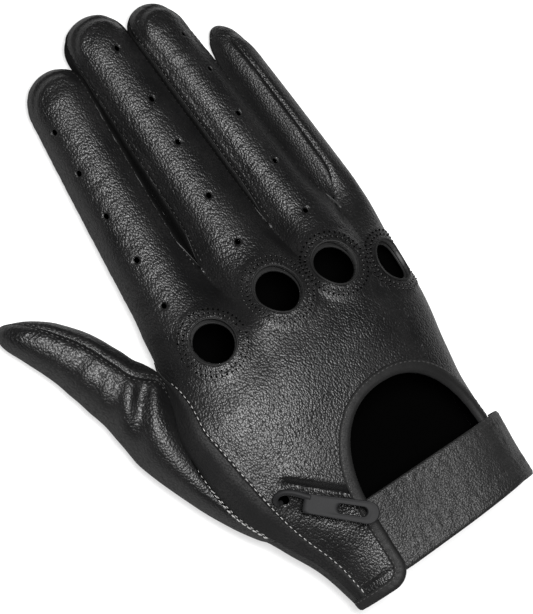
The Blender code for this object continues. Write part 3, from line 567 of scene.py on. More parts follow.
# Mesh building: a leather is grids of an outer and an inner skin, sewn together where they touch
class Leather:
    def __init__(self):
        self.outer = []
        self.inner = []
        self.quads = []
        self.count = 0
        self.threads = []
        self.tree = None

    def grid(self, outer, inner, ring=False):
        rows, columns = outer.shape[:2]
        index = np.arange(rows * columns).reshape(rows, columns)
        if ring:
            index = np.concatenate([index, index[:, :1]], axis=1)
        corners = [index[:-1, :-1], index[:-1, 1:], index[1:, 1:], index[1:, :-1]]
        quads = np.stack(corners, axis=-1).reshape(-1, 4)
        outer, inner = outer.reshape(-1, 3), inner.reshape(-1, 3)
        corners = outer[quads]
        facing = np.cross(corners[:, 2] - corners[:, 0], corners[:, 3] - corners[:, 1])
        if (facing * (corners[:, 0] - inner[quads[:, 0]])).sum() < 0:
            quads = quads[:, ::-1]  # the outer skin always faces out
        self.outer.append(outer)
        self.inner.append(inner)
        self.quads.append(quads + self.count)
        self.count += rows * columns
        return self

    def sew(self):
        outer, inner = np.concatenate(self.outer), np.concatenate(self.inner)
        quads = np.concatenate(self.quads)
        keys = np.round(outer * weldPerMm).astype(np.int64)
        _, first, back = np.unique(keys, axis=0, return_index=True, return_inverse=True)
        self.outer, self.inner, q = outer[first], inner[first], back.reshape(-1)[quads]
        pairs = ((0, 1), (1, 2), (2, 3), (3, 0), (0, 2), (1, 3))
        self.quads = q[np.all([q[:, a] != q[:, b] for a, b in pairs], axis=0)]
        return self

    def edges(self):
        q = self.quads
        pairs = np.concatenate([q[:, [k, (k + 1) % 4]] for k in range(4)])
        keys = np.sort(pairs, axis=1)
        keys = keys[:, 0] * len(self.outer) + keys[:, 1]
        _, index, count = np.unique(keys, return_inverse=True, return_counts=True)
        return pairs[count[index.reshape(-1)] == 1]

    def punch(self, cutouts):
        # takes out the faces inside each cut, then draws the ragged edges onto their outlines
        before = np.unique(self.edges())
        middle = self.outer[self.quads].mean(axis=1)
        gone = np.zeros(len(middle), bool)
        for inside, _, _ in cutouts:
            gone |= inside(middle)
        self.quads = self.quads[~gone]
        rim = np.setdiff1d(np.unique(self.edges()), before)
        for _, near, snap in cutouts:
            chosen = rim[near(self.outer[rim])]
            if len(chosen):
                moved = snap(self.outer[chosen])
                self.inner[chosen] += moved - self.outer[chosen]
                self.outer[chosen] = moved

    def laid(self, points):
        # the nearest places on the outer skin, with its directions there
        if self.tree is None:
            self.tree = BVHTree.FromPolygons(self.outer.tolist(), self.quads.tolist())
        found = [self.tree.find_nearest(point) for point in points.tolist()]
        return np.array([f[0] for f in found]), np.array([f[1] for f in found])

    def stitch(self, points, look):
        # short threads laid along a line of points
        end = runAlong(points)[-1] - look["length"]
        starts = np.arange(look["pitch"] * 0.3, end, look["pitch"])
        first, normals = self.laid(readAlong(points, starts))
        last, _ = self.laid(readAlong(points, starts + look["length"]))
        self.threads.append((first, last, normals, look))


# thickness is a thread's half width, proud how far it lifts and finish its place in the slots
threadLook = {"pitch": 2.0, "length": 1.3, "thickness": 0.2, "proud": 0.0, "finish": 3}
# stitches in the pale thread, whose light colour paints their glints
paintedGlintLook = {"pitch": 2.4, "length": 1.7, "thickness": 0.23, "proud": 0.05, "finish": 4}
# dark dashes in the needle-hole finish, painted shade where the needle holes are
holeShadeLook = {"pitch": 1.9, "length": 1.0, "thickness": 0.5, "proud": 0.0, "finish": 5}
betweenLook = {"pitch": 1.9, "length": 0.7, "thickness": 0.36, "proud": 0.08, "finish": 3}


def threadMesh(starts, ends, normals, look):
    sides, spans = 6, [(-0.02, 0.25), (0.12, 0.8), (0.5, 1.0), (0.88, 0.8), (1.02, 0.25)]
    along = ends - starts
    length = np.linalg.norm(along, axis=1, keepdims=True)
    along = along / length
    side = unit(np.cross(along, normals))
    up = np.cross(side, along)
    rings = []
    for share, wide in spans:
        sink = look["proud"] - look["thickness"] * 1.1 * (abs(share - 0.5) * 2) ** 2
        centre = starts + along * length * share + up * sink
        for k in range(sides):
            turn = 2 * math.pi * k / sides
            out = side * math.cos(turn) + up * math.sin(turn)
            rings.append(centre + out * look["thickness"] * wide)
    faces = []
    for r in range(len(spans) - 1):
        for k in range(sides):
            n = (k + 1) % sides
            faces.append([r * sides + k, r * sides + n, (r + 1) * sides + n, (r + 1) * sides + k])
    faces = np.array(faces)[None] + (np.arange(len(starts)) * len(rings))[:, None, None]
    return np.stack(rings, axis=1).reshape(-1, 3), faces.reshape(-1, 4)


def pieceFrom(name, points, quads, slots, materials, normals):
    mesh = bpy.data.meshes.new(name)
    used, back = np.unique(quads, return_inverse=True)
    mesh.from_pydata((points[used] * 0.001).tolist(), [], back.reshape(-1, 4).tolist())
    mesh.polygons.foreach_set("material_index", slots.astype(np.int32))
    for material in materials:
        mesh.materials.append(material)
    mesh.shade_smooth()
    mesh.normals_split_custom_set_from_vertices(normals[used].tolist())
    piece = bpy.data.objects.new(name, mesh)
    bpy.context.scene.collection.objects.link(piece)
    return piece


def vertexNormals(points, quads):
    a, b = points[quads[:, 2]] - points[quads[:, 0]], points[quads[:, 3]] - points[quads[:, 1]]
    face = np.cross(a, b)
    total = np.zeros_like(points)
    for k in range(4):
        np.add.at(total, quads[:, k], face)
    size = np.linalg.norm(total, axis=1, keepdims=True)
    return total / np.maximum(size, 1e-12)


def withThreads(leather, points, quads, slots):
    # adds a leather's threads to its other faces
    for starts, ends, normals, look in leather.threads:
        p, q = threadMesh(starts, ends, normals, look)
        quads.append(q + sum(map(len, points)))
        points.append(p)
        slots.append(np.full(len(q), look["finish"]))
    return np.concatenate(points), np.concatenate(quads), np.concatenate(slots)


def finishLeather(leather, material, splits):
    # splits: piece name and which faces it takes, from the middles of the faces
    count = len(leather.outer)
    edges = leather.edges()
    outer, inner = leather.quads, leather.quads[:, ::-1] + count
    rim = np.stack([edges[:, 1], edges[:, 0], edges[:, 0] + count, edges[:, 1] + count], axis=1)
    slots = [np.zeros(len(outer)), np.full(len(inner), 2), np.ones(len(rim))]
    both = [leather.outer, leather.inner]
    points, quads, slots = withThreads(leather, both, [outer, inner, rim], slots)
    normals = vertexNormals(points, quads)
    middle = points[quads].mean(axis=1)
    pieces = []
    for name, chosen in splits:
        mask = chosen(middle)
        materials = [material, *sewnWith]
        pieces.append(pieceFrom(name, points, quads[mask], slots[mask], materials, normals))
    return pieces


def everyFace(middle):
    return np.ones(len(middle), bool)


def solidPiece(name, parts, materials, stitches=()):
    # parts are closed grids of rows, each a ring of points round a middle
    shape = Leather()
    for rows, middles in parts:
        shape.grid(rows, middles, ring=True)
    shape.sew()
    for line, look in stitches:
        shape.stitch(line, look)
    slots = [np.zeros(len(shape.quads))]
    points, quads, slots = withThreads(shape, [shape.outer], [shape.quads], slots)
    return pieceFrom(name, points, quads, slots, materials, vertexNormals(points, quads))


# Relief: how far the leather stands proud, in millimetres, over its plain shape
relief = {
    "seamRoll": 0.5,  # the rounded edge beside a seam
    "rollAt": 1.9,
    "rollWide": 1.3,
    "seamDip": 0.55,
    "dipWide": 0.75,
    "pucker": 0.16,
    "gather": 1.25,
    "puckerFade": 3.5,
    "fingerWrinkle": 0.06,
    "handWrinkle": 0.1,
    "sway": 0.3,
    "ridge": 1.0,  # the hand's ridges behind the fingers
    "drawn": 1.3,  # how far the leather dips where two fingers part
    "ringPad": 0.55,
    "needleDip": 0.25,
}
needleRows = (2.3, 4.1)  # how far the rows of needle holes lie from a knuckle hole


def seamRelief(distance, run, seed, strength=1.0):
    roll = relief["seamRoll"] * bell(distance - relief["rollAt"], relief["rollWide"])
    roll = roll - relief["seamDip"] * bell(distance, relief["dipWide"])
    pucker = relief["pucker"] * ripple(run * 1.9, distance * 0.2, seed, 5)
    pucker = pucker * np.exp(-distance / relief["puckerFade"])
    return (roll + pucker * relief["gather"] * smooth(distance / 1.2)) * strength


def plainBack():
    leather = Leather()
    for number in range(4):
        share, y = np.meshgrid(np.linspace(0, 1, 21), np.linspace(hand["hem"], 156, 130))
        leather.grid(*(stripPoint("back", number, share, y, inset) for inset in (0.0, 1.0)))
    leather.sew()
    return BVHTree.FromPolygons(leather.outer.tolist(), leather.quads.tolist())


plainSkin = plainBack()


def skinUnder(x, y):
    return np.array(plainSkin.ray_cast((x, y, 80.0), (0, 0, -1))[0])


def skinFrame(x, y):
    centre = skinUnder(x, y)
    across = unit(skinUnder(x + 2.2, y) - skinUnder(x - 2.2, y))
    forward = skinUnder(x, y + 3) - skinUnder(x, y - 3)
    forward[0] = 0
    forward -= across * (forward @ across)
    return centre, across, unit(forward)


def ovalOn(place, halfAcross, halfAlong, count=97, lift=0.0):
    # an oval round a place on the back, laid on the plain skin
    centre, across, forward = place[:3]
    up = np.cross(across, forward)
    points = []
    for turn in np.linspace(0, 2 * math.pi, count):
        c, s = math.cos(turn), math.sin(turn)
        point = centre + across * halfAcross * c + forward * halfAlong * s
        hit = plainSkin.ray_cast(tuple(point + up * 9), tuple(-up))[0]
        points.append(point if hit is None else np.array(hit))
    return np.array(points) + up * lift


holes = [(*skinFrame(*finger["hole"][:2]), *finger["hole"][2:]) for finger in fingers]


def holeLevel(points, hole):
    centre, across, forward, halfAcross, halfAlong = hole
    away = points - centre
    p, q = away @ across, away @ forward
    level = np.hypot(p / halfAcross, q / halfAlong)
    near = np.abs(away @ np.cross(across, forward)) < 9
    return np.where(near, level, 9.0), p, q


# The hanger, placed by the eye its arm goes through and measured in its own directions
hanger = {
    "eye": (-44.0, -19.0),
    "turn": -42.0,
    "lift": 3.1,
    "thickness": 2.0,
    "from": 7.0,
    "to": 30.7,
    "half": 4.2,
    "narrow": 3.6,
    "corner": 1.4,
    "slot": (19.6, 30.4, 1.75),  # its two ends and half width
    "profile": [
        (0.0, 0.25), (0.0, 0.72), (0.05, 0.93), (0.14, 1.0), (0.3, 0.9), (0.72, 0.88), (0.86, 1.0),
        (0.95, 0.93), (1.0, 0.7), (1.0, 0.3), (0.95, 0.06), (0.84, 0.0), (0.16, 0.0), (0.05, 0.06),
    ],  # from the slot to the outline, and from the underside up
    "arm": [
        (9.6, 2.2, 4.1), (7.4, 2.5, 4.1), (4.6, 2.9, 4.0), (1.8, 3.0, 3.8), (-0.8, 2.5, 3.4),
        (-2.5, 1.2, 2.7), (-2.9, -0.5, 1.7), (-2.1, -1.7, 0.4), (-1.0, -1.5, -1.2),
        (-0.6, -1.0, -2.4),
    ],  # along, aside and up
    "armHalf": (1.35, 0.95),
}


def hangerFrame():
    x, y = hanger["eye"]
    angle = handAngle(np.float64(x), np.float64(y))
    around = unit(handPoint(angle - 16, y) - handPoint(angle + 2, y))
    ahead = np.array((0.0, 1.0, 0.0))
    ahead = unit(ahead - around * (ahead @ around))
    turn = math.radians(hanger["turn"])
    along = around * math.cos(turn) + ahead * math.sin(turn)
    up = np.cross(around, ahead)
    return handPoint(angle, y), along, np.cross(up, along), up


hangerEye, hangerAlong, hangerSide, hangerUp = hangerFrame()


def stripWidth(finger):
    return fingerMake["across"] * finger["width"][0]


def backRelief(number, share, y):
    finger = fingers[number]
    isLittle = number == 3
    flat = stripPoint("back", number, share, y)
    x = flat[..., 0]
    onFinger = smooth((y - 52) / 16)
    # the seam runs on round the fingertip
    left = (finger["tipY"] - y) / finger["dome"]
    low, high = fingerEdges(number, "back", y)
    power = fingerMake["squareness"]
    across, _ = onSection(low + (high - low) * share, 1.0, 1.0, power)
    dome = fingerAt(finger, y)[2] / finger["width"][1]
    ahead = np.clip(1 - left, 0, 1)
    level = (np.abs(across * dome) ** power + ahead**power) ** (1 / power)
    inside = (1 - level) * finger["width"][1]
    onTip = smooth((1.1 - left) / 0.6)
    up = seamRelief(np.abs(inside - 0.8 - 1.6 * ahead), share * 26, 14 + number, 0.75)
    up = up * onTip * smooth(inside / 1.2)
    crotches = partings(number)
    for edge in (0, 1):
        distance = np.abs(share - edge) * stripWidth(finger)
        if edge in crotches:
            past = y - crotches[edge]
            seam = seamRelief(distance, y, 11 + number * 2 + edge, 0.45 if isLittle else 1.0)
            up = up + seam * smooth((past + 2) / 6) * (1 - onTip)
            # the leather is drawn down where two fingers part
            up = up - relief["drawn"] * bell(distance, 4.0) * bell(past + 1, 8.0)
        else:
            up = up + seamRelief(distance, y, *((7, 0.4) if isLittle else (5, 0.5)))
    folds = ripple(x * 0.16, y * 1.15 + 0.004 * x * x, 21 + number, 6) * bell(share - 0.5, 0.3)
    folds = folds * np.clip(0.45 + 0.6 * ripple(x * 0.2, y * 0.14, 26 + number, 5), 0, 1)
    up = up + relief["fingerWrinkle"] * folds * onFinger * (0.4 if isLittle else 1.0)
    inward = smooth(share * 6) if number == 0 else smooth((1 - share) * 6) if isLittle else 1.0
    wrinkles = relief["handWrinkle"] * ripple(x * 0.22, y * 0.3, 31, 7)
    up = up + wrinkles * (1 - onFinger) * inward
    sway = relief["sway"] * ripple(x * 0.075, y * 0.06, 33, 6)
    up = up + sway * smooth(share * 5) * smooth((1 - share) * 5)
    up = up + relief["ridge"] * np.cos((share - 0.5) * math.pi) * bell(y - 50, 26)
    for hole in holes:
        level = holeLevel(flat, hole)[0]
        out = (level - 1) * (hole[3] + hole[4]) / 2
        pad = relief["ringPad"] * (1 - smooth((out - 4.2) / 2.0))
        dips = relief["needleDip"] * sum(bell(out - row, 0.5) for row in needleRows)
        up = up + np.where((out > -4) & (level < 3), pad - dips, 0)
    # the hanger's arm pinches the leather above its bar
    away = flat - hangerEye
    s, t = away @ hangerAlong, away @ hangerSide
    here = smooth((s + 4) / 6) * smooth((31 - s) / 10) * (y < 10)
    up = up + (0.7 * bell(t - 9.5, 2.4) - 1.5 * bell(t - 5.6, 1.7) - 0.5 * bell(t + 3, 3)) * here
    # folds where the flap is turned up
    turned, onFlap = y - hand["hem"], x < -18
    up = up - 0.5 * bell(turned - 5.5, 0.6) * onFlap
    return up + 0.1 * bell(turned - 3, 2.0) * onFlap


def palmRelief(number, share, y):
    flat = stripPoint("palm", number, share, y)
    up = relief["sway"] * ripple(flat[..., 0] * 0.12, y * 0.1, 41, 6)
    up = up * smooth(share * 6) * smooth((1 - share) * 6)
    crotches = partings(number)
    for edge in (0, 1):
        seam = seamRelief(np.abs(share - edge) * 24, y, 51 + number * 2 + edge, 0.7)
        ramp = smooth((y - crotches[edge] + 2) / 6) if edge in crotches else 0.6
        up = up + seam * ramp
    return up


# The opening over the back of the wrist
opening = {
    "left": -19.5,
    "right": 40.0,
    "top": -2.0,
    "arch": -38.0,
    "squareness": 2.2,
    "corner": 7.0,  # the flap's rounded corner
}
opening["middle"] = (opening["left"] + opening["right"]) / 2
opening["half"] = (opening["right"] - opening["left"]) / 2
flapCorner = (opening["left"] - opening["corner"], hand["hem"] + opening["corner"])


def openingLevel(x, y):
    power = opening["squareness"]
    across = np.abs(x - opening["middle"]) / opening["half"]
    up = np.maximum(y - opening["arch"], 0) / (opening["top"] - opening["arch"])
    return (across**power + up**power) ** (1 / power)


def openingSnap(points):
    x, y, z = points.T
    level = openingLevel(x, y)
    newX = opening["middle"] + (x - opening["middle"]) / level
    newY = np.where(y > opening["arch"], opening["arch"] + (y - opening["arch"]) / level, y)
    was, now = handPoint(handAngle(x, y), y), handPoint(handAngle(newX, newY), newY)
    return np.stack([newX, newY, z + now[:, 2] - was[:, 2]], axis=1)


def hemY(x):
    rise = (x - hand["hemRiseFrom"]) / (hand["hemRiseTo"] - hand["hemRiseFrom"])
    return hand["hem"] + hand["hemRise"] * smooth(rise)


def pulledToHem(side, number, share, y, end=22.0):
    hem = hemY(stripPoint(side, number, share, hand["hem"] + 0 * y)[..., 0])
    return np.where(y < end, end - (end - y) * (end - hem) / (end - hand["hem"]), y)


def rowsTo(finger, start, fine, short=0.0):
    domeY = finger["tipY"] - short - finger["dome"]
    body = np.linspace(start, domeY, int((domeY - start) / fine))
    turns = np.radians(np.linspace(0, 90, 24))[1:]
    return np.concatenate([body, domeY + (finger["dome"] - 0.0001) * np.sin(turns)])


def makeHandLeather(side, fine, columns):
    leather = Leather()
    raised = backRelief if side == "back" else palmRelief
    common = np.linspace(hand["hem"], hand["commonTo"], int(hand["commonLength"] / fine) + 1)
    for number, finger in enumerate(fingers):
        y = np.concatenate([common, rowsTo(finger, hand["commonTo"], fine)[1:]])
        share, y = np.meshgrid(np.linspace(0, 1, columns[number] + 1), y)
        y = pulledToHem(side, number, share, y)
        up = raised(number, share, y) * smooth((finger["tipY"] - y) / 2.5)
        within = np.minimum(y, finger["tipY"] - hand["leather"] - 0.05)
        outer = stripPoint(side, number, share, y, -up)
        leather.grid(outer, stripPoint(side, number, share, within, hand["leather"] - up * 0.5))
    return leather.sew()


def fingerOf(middle):
    # which finger a point past the crotches belongs to
    x, y = middle[:, 0], middle[:, 1]
    lines = []
    for n in range(3):
        left, right = fingerAt(fingers[n], y), fingerAt(fingers[n + 1], y)
        lines.append((left[0] + left[2] + right[0] - right[2]) / 2)
    return (x > lines[0]).astype(int) + (x > lines[1]) + (x > lines[2])


def splitHand(side):
    limits = np.array([finger["split"] for finger in fingers])

    def owner(middle):
        # the finger that a face belongs to, or -1 on the hand
        number = fingerOf(middle)
        return np.where(middle[:, 1] > limits[number], number, -1)

    splits = [(side + "Leather", lambda m: owner(m) == -1)]
    for number, finger in enumerate(fingers):
        name = finger["name"] + side.capitalize() + "Leather"
        splits.append((name, lambda m, number=number: owner(m) == number))
    return splits


def blendHand(piece):
    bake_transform(piece)


def blendFinger(piece, finger):
    places = [finger["joint"] + way * fingerMake["halfBend"] for way in (-1, 1)]
    ends = [(0, y * 0.001, fingerMake["bendHeight"] * 0.001) for y in places]
    finger["name"] + "_tip"
    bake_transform(piece)


def placeHandPieces(pieces, side, fingerParts):
    blendHand(pieces[0])
    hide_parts(side + "_hand", side + "_knuckle_band")
    for piece, finger in zip(pieces[1:], fingers):
        blendFinger(piece, finger)
        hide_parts(*(finger["name"] + part for part in fingerParts))


# The back of the glove
def roundCut(place, halfAcross, halfAlong):
    hole = (*place, halfAcross, halfAlong)
    reach = 1 + 0.8 / min(halfAcross, halfAlong)

    def snap(points):
        level, p, q = holeLevel(points, hole)
        out = 1 / level - 1
        return points + (p * out)[:, None] * hole[1] + (q * out)[:, None] * hole[2]

    return lambda m: holeLevel(m, hole)[0] < 1, lambda m: holeLevel(m, hole)[0] < reach, snap


def pastCorner(middle, reach=0.0):
    x, y = middle[:, 0] - flapCorner[0], middle[:, 1] - flapCorner[1]
    beyond = (x > -reach) & (y < reach) & (middle[:, 0] < opening["left"] + 2)
    return beyond & (np.hypot(x, y) > opening["corner"] - reach)


def cornerSnap(points):
    x, y = flapCorner
    away = np.stack([np.maximum(points[:, 0] - x, 0), np.minimum(points[:, 1] - y, 0)], axis=1)
    away *= (opening["corner"] / np.linalg.norm(away, axis=1))[:, None]
    return np.stack([x + away[:, 0], y + away[:, 1], points[:, 2]], axis=1)


def inOpening(middle, most=1.0):
    x, y, z = middle.T
    return (openingLevel(x, y) < most) & (z > 17) & (y < 0)


back = makeHandLeather("back", 0.75, (40, 38, 34, 28))
cutouts = [roundCut(hole[:3], *hole[3:]) for hole in holes]
cutouts += [roundCut(skinFrame(*vent), 1.1, 1.2) for finger in fingers for vent in finger["vents"]]
cutouts.append(roundCut((hangerEye, hangerAlong, hangerSide), 2.2, 1.8))
cutouts.append((inOpening, lambda m: inOpening(m, 1.15), openingSnap))
cutouts.append((pastCorner, lambda m: pastCorner(m, 0.9), cornerSnap))
back.punch(cutouts)
for hole in holes:
    for out, shift in zip(needleRows, (0, 3)):
        line = ovalOn(hole, hole[3] + out, hole[4] + out, 161, 0.5)
        line = np.roll(line[:-1], shift, axis=0)
        # the first row of dashes paints the shade in the needle holes
        back.stitch(line, holeShadeLook)
        back.stitch(line[4:], betweenLook)
for number, finger in enumerate(fingers):
    for edge, crotchY in partings(number).items():
        y = np.linspace(crotchY + 2, finger["tipY"] - 4, 240)
        share = 1.3 / stripWidth(finger)
        share = share if edge == 0 else 1 - share
        back.stitch(stripPoint("back", number, share + 0 * y, y, -0.4), threadLook)
y = np.linspace(hand["hem"] + 1, 40, 260)
back.stitch(handPoint(sideSeam(y) - 1.7, y, -0.3), paintedGlintLook)
x = np.linspace(-36, opening["left"] - 8, 60)
for up, look in ((2.2, paintedGlintLook), (7.0, threadLook)):
    y = hand["hem"] + up + 0 * x
    back.stitch(handPoint(handAngle(x, y), y, -0.3), look)
backPieces = finishLeather(back, leathers["leather"], splitHand("back"))
placeHandPieces(backPieces, "back", ("_back_lower", "_bend", "_back_upper"))
print("back leather made:", len(back.quads), "faces")

# The palm
palm = makeHandLeather("palm", 1.3, (20, 18, 16, 14))
palmPieces = finishLeather(palm, leathers["palmLeather"], splitHand("palm"))
placeHandPieces(palmPieces, "palm", ("_palm_lower", "_palm_upper"))


# The side leathers between a finger's back and palm
def makeWall(number, edge, crotchY):
    finger, isLittle = fingers[number], number == 3
    share, y = np.meshgrid(np.linspace(0, 1, 19), rowsTo(finger, crotchY, 1.0, 1.5))
    up = seamRelief(np.minimum(share, 1 - share) * 15, y, 71 + number * 2 + edge, 0.5)
    up = up + 0.1 * ripple(y * 0.5, share * 3, 81 + number, 5)
    up = up + (0.2 if isLittle else 1.0) * np.sin(math.pi * share)
    up = up * smooth((y - crotchY) / 4) * smooth((finger["tipY"] - y) / 8)
    skins = (wallPoint(number, edge, share, y, inset) for inset in (-up, hand["leather"] - up))
    leather = Leather().grid(*skins).sew()
    word = ("thumb", "little")[edge]
    title = finger["name"] + word.capitalize() + "SideWall"
    splits = [
        (title + "Root", lambda m: m[:, 1] <= finger["split"]),
        (title, lambda m: m[:, 1] > finger["split"]),
    ]
    # every wall but the little finger's own takes the darker wall leather, painted shade for the
    # slits between the fingers
    root, wall = finishLeather(leather, leathers["littleWall" if isLittle else "wall"], splits)
    blendHand(root)
    blendFinger(wall, finger)
    stem = f"{finger['name']}_{word}_side_fourchette_"
    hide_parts(stem + "lower", stem + "upper")


for number in range(4):
    for edge, crotchY in partings(number).items():
        makeWall(number, edge, crotchY)
print("palm and finger walls made")

# The narrow leather along the thumb side of the hand
share, y = np.meshgrid(np.linspace(0, 1, 21), np.linspace(hand["hem"], 48.0, 150))
angle = sideSeam(y) + (hand["thumbSeam"] + sideGain(y) - sideSeam(y)) * share
up = seamRelief(share * 9, y, 91, 0.5) + seamRelief((1 - share) * 9, y, 92, 0.5)
up = up + 0.12 * ripple(y * 0.25, share * 4, 93, 5)
sidePiece = Leather().grid(handPoint(angle, y, -up), handPoint(angle, y, hand["leather"])).sew()
run = np.linspace(-27, 35, 200)
sidePiece.stitch(handPoint(hand["thumbSeam"] - 1.5 + 0 * run, run, -0.25), paintedGlintLook)
piece = finishLeather(sidePiece, leathers["sidePanel"], [("sideLeather", everyFace)])[0]
blendHand(piece)
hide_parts("side_panel")


# The thumb, two leathers sewn along its front and back
def thumbRelief(isOuter, station, share):
    reach = 36 - 20 * np.clip(station / 6, 0, 1)
    up = seamRelief(share * reach, station * 12, 101, 0.7)
    up = up + seamRelief((1 - share) * reach, station * 12, 102, 0.7)
    up = up * smooth((8.6 - station) / 1.2)
    folds = station * 6.6 + share * 3.4 + 0.7 * ripple(share * 5, station * 2, 103, 4)
    folds = np.sin(folds) * bell(station - 1.5, 1.0)
    fine = ripple(share * 6, station * 9, 104, 6) * bell(station - 3.2, 2.2) * 0.3
    mask = 0.15 * smooth(share / 0.3)
    if isOuter:
        mask = smooth(share / 0.12) * smooth((0.8 - share) / 0.3)
    folds = (thumb["folds"] * folds + fine) * mask
    return up + folds * smooth(station / 0.5) * smooth((1 - share) / 0.1)


def makeThumb(half, start):
    isOuter = half == "outer"
    steps = [np.linspace(0, 1, 34), np.linspace(1, 6, 86)[1:], np.linspace(6, 9, 34)[1:]]
    share, station = np.meshgrid(np.linspace(0, 1, 49), np.concatenate(steps))
    angle = thumbSeam(station) + start + 180 * share
    up = thumbRelief(isOuter, station, share)
    inner = thumbPoint(station, angle, hand["leather"] - up * 0.7)
    leather = Leather().grid(thumbPoint(station, angle, -up), inner).sew()
    run = np.linspace(0.15, 7.4, 300)
    beside = 6.5 if isOuter else -6.5
    leather.stitch(thumbPoint(run, thumbSeam(run) + beside, -0.3), threadLook)
    if isOuter:
        turns = np.linspace(70, 175, 120)
        for place in (0.08, 0.2):
            leather.stitch(thumbPoint(place + 0 * turns, turns, -0.3), paintedGlintLook)
    limit = thumbMiddle(np.float64(thumb["split"]))
    ahead = thumbMiddle(np.float64(thumb["split"] + 0.3)) - limit
    splits = [
        (half + "ThumbRoot", lambda m: (m - limit) @ ahead <= 0),
        (half + "ThumbTip", lambda m: (m - limit) @ ahead > 0),
    ]
    root, tip = finishLeather(leather, leathers["thumb"], splits)
    bodies = (("hand", "thumb_lower"), ("thumb_lower", "thumb_tip"))
    for piece, pair, bend in zip((root, tip), bodies, thumb["bends"]):
        first, last = (tuple(thumbMiddle(np.float64(s)) * 0.001) for s in bend)
        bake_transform(piece)
    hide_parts(f"thumb_{half}_root", f"thumb_{half}_lower", "thumb_base_bend")
    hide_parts(f"thumb_{half}_upper", "thumb_tip_bend")


makeThumb("outer", 0)
makeThumb("inner", 180)
print("thumb made")


# Round each knuckle hole: the leather ring inside, and the thin rolled edge
def tube(line, side, up, radius, sides):
    # rings of points round a line, and their middles
    turns = np.linspace(0, 2 * math.pi, sides + 1)[:-1]
    out = side[:, None] * np.cos(turns)[:, None] + up[:, None] * np.sin(turns)[:, None]
    rows = line[:, None] + np.reshape(radius, (-1, 1, 1)) * out
    return rows, np.repeat(line[:, None], sides, axis=1)


def cordAlong(line, up, radius):
    # a closed round cord, whose line begins and ends at the same place
    ahead = unit(np.roll(line[:-1], -1, axis=0) - np.roll(line[:-1], 1, axis=0))
    ahead = np.concatenate([ahead, ahead[:1]])
    side = unit(np.cross(ahead, up))
    return tube(line, side, np.cross(side, ahead), radius, 10)


for hole, finger in zip(holes, fingers):
    up = np.cross(hole[1], hole[2])
    steps = (-0.9, -0.6, 0.0, 1.0, 2.2, 3.2)
    skin = np.array([ovalOn(hole, hole[3] + out, hole[4] + out, 97) for out in steps])
    facing = Leather().grid(skin - up * 0.9, skin - up * 1.7).sew()
    splits = [(finger["name"] + "KnuckleRing", everyFace)]
    ring = finishLeather(facing, leathers["binding"], splits)[0]
    line, _ = back.laid(ovalOn(hole, hole[3] + 0.25, hole[4] + 0.25, 97, 0.45))
    line[-1] = line[0]
    for _ in range(6):  # evens out the cord
        before, after = (np.roll(line[:-1], way, axis=0) for way in (1, -1))
        line[:-1] = (before + line[:-1] * 2 + after) / 4
        line[-1] = line[0]
    cord = [cordAlong(line, up, 0.4)]
    edge = solidPiece(finger["name"] + "KnuckleEdge", cord, [leathers["binding"]])
    for piece in (ring, edge):
        blendHand(piece)
    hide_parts(finger["name"] + "_knuckle_facing")
print("knuckle rings made")

# The binding round the wrist opening and the flap's corner
bindingMake = {
    "profile": [
        (-3.1, 0.2), (-2.9, 0.75), (-1.9, 1.05), (-0.4, 1.2), (0.6, 1.05), (1.15, 0.45),
        (1.2, -0.6), (0.9, -1.6), (0.0, -2.0), (-1.6, -2.05), (-2.9, -1.9), (-3.1, -1.4),
        (-2.8, -1.15), (-0.2, -1.15), (0.15, -0.5), (-0.2, 0.1), (-2.8, 0.1),
    ],  # away from the edge and up
    "stitch": -2.2,
}


def bindingPath():
    corner, arch, hem = opening["corner"], opening["arch"], hand["hem"]
    path = [(x, hem) for x in np.linspace(-37, flapCorner[0], 12)]
    for t in np.radians(np.linspace(-90, 0, 16)[1:]):
        path.append((flapCorner[0] + corner * math.cos(t), flapCorner[1] + corner * math.sin(t)))
    path += [(opening["left"], y) for y in np.linspace(flapCorner[1], arch, 18)[1:]]
    for t in np.linspace(180, 0, 70)[1:]:
        across, up = onSection(t, opening["half"], opening["top"] - arch, opening["squareness"])
        path.append((opening["middle"] + float(across), arch + float(up)))
    path += [(opening["right"], y) for y in np.linspace(arch, hemY(opening["right"]), 16)[1:]]
    return np.array(path, float)


path = bindingPath()
angles = handAngle(path[:, 0], path[:, 1])
degree = handPoint(angles - 0.5, path[:, 1]) - handPoint(angles + 0.5, path[:, 1])
degree = np.linalg.norm(degree, axis=1)  # millimetres round the hand to a degree
steps = np.diff(angles) * (degree[1:] + degree[:-1]) / 2
plan = np.stack([-np.cumsum(np.concatenate([[0], steps])), path[:, 1]], axis=1)
ahead = unit(np.gradient(plan, axis=0))
inward = np.stack([ahead[:, 1], -ahead[:, 0]], axis=1)


def alongBinding(reach, height):
    wave = 0.06 * np.sin(np.arange(len(path)) * 1.9)
    angle = angles - reach * inward[:, 0] / degree
    return handPoint(angle, path[:, 1] + reach * inward[:, 1], -height - wave)


rows = np.stack([alongBinding(*place) for place in bindingMake["profile"]], axis=1)
middles = np.repeat(rows.mean(axis=1, keepdims=True), rows.shape[1], axis=1)
stitches = [(alongBinding(bindingMake["stitch"], 1.0), {**threadLook, "finish": 1})]
finishes = [leathers["binding"], plain["thread"]]
piece = solidPiece("openingBinding", [(rows, middles)], finishes, stitches)
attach(piece, "hand")
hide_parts("opening_binding")
print("binding made")

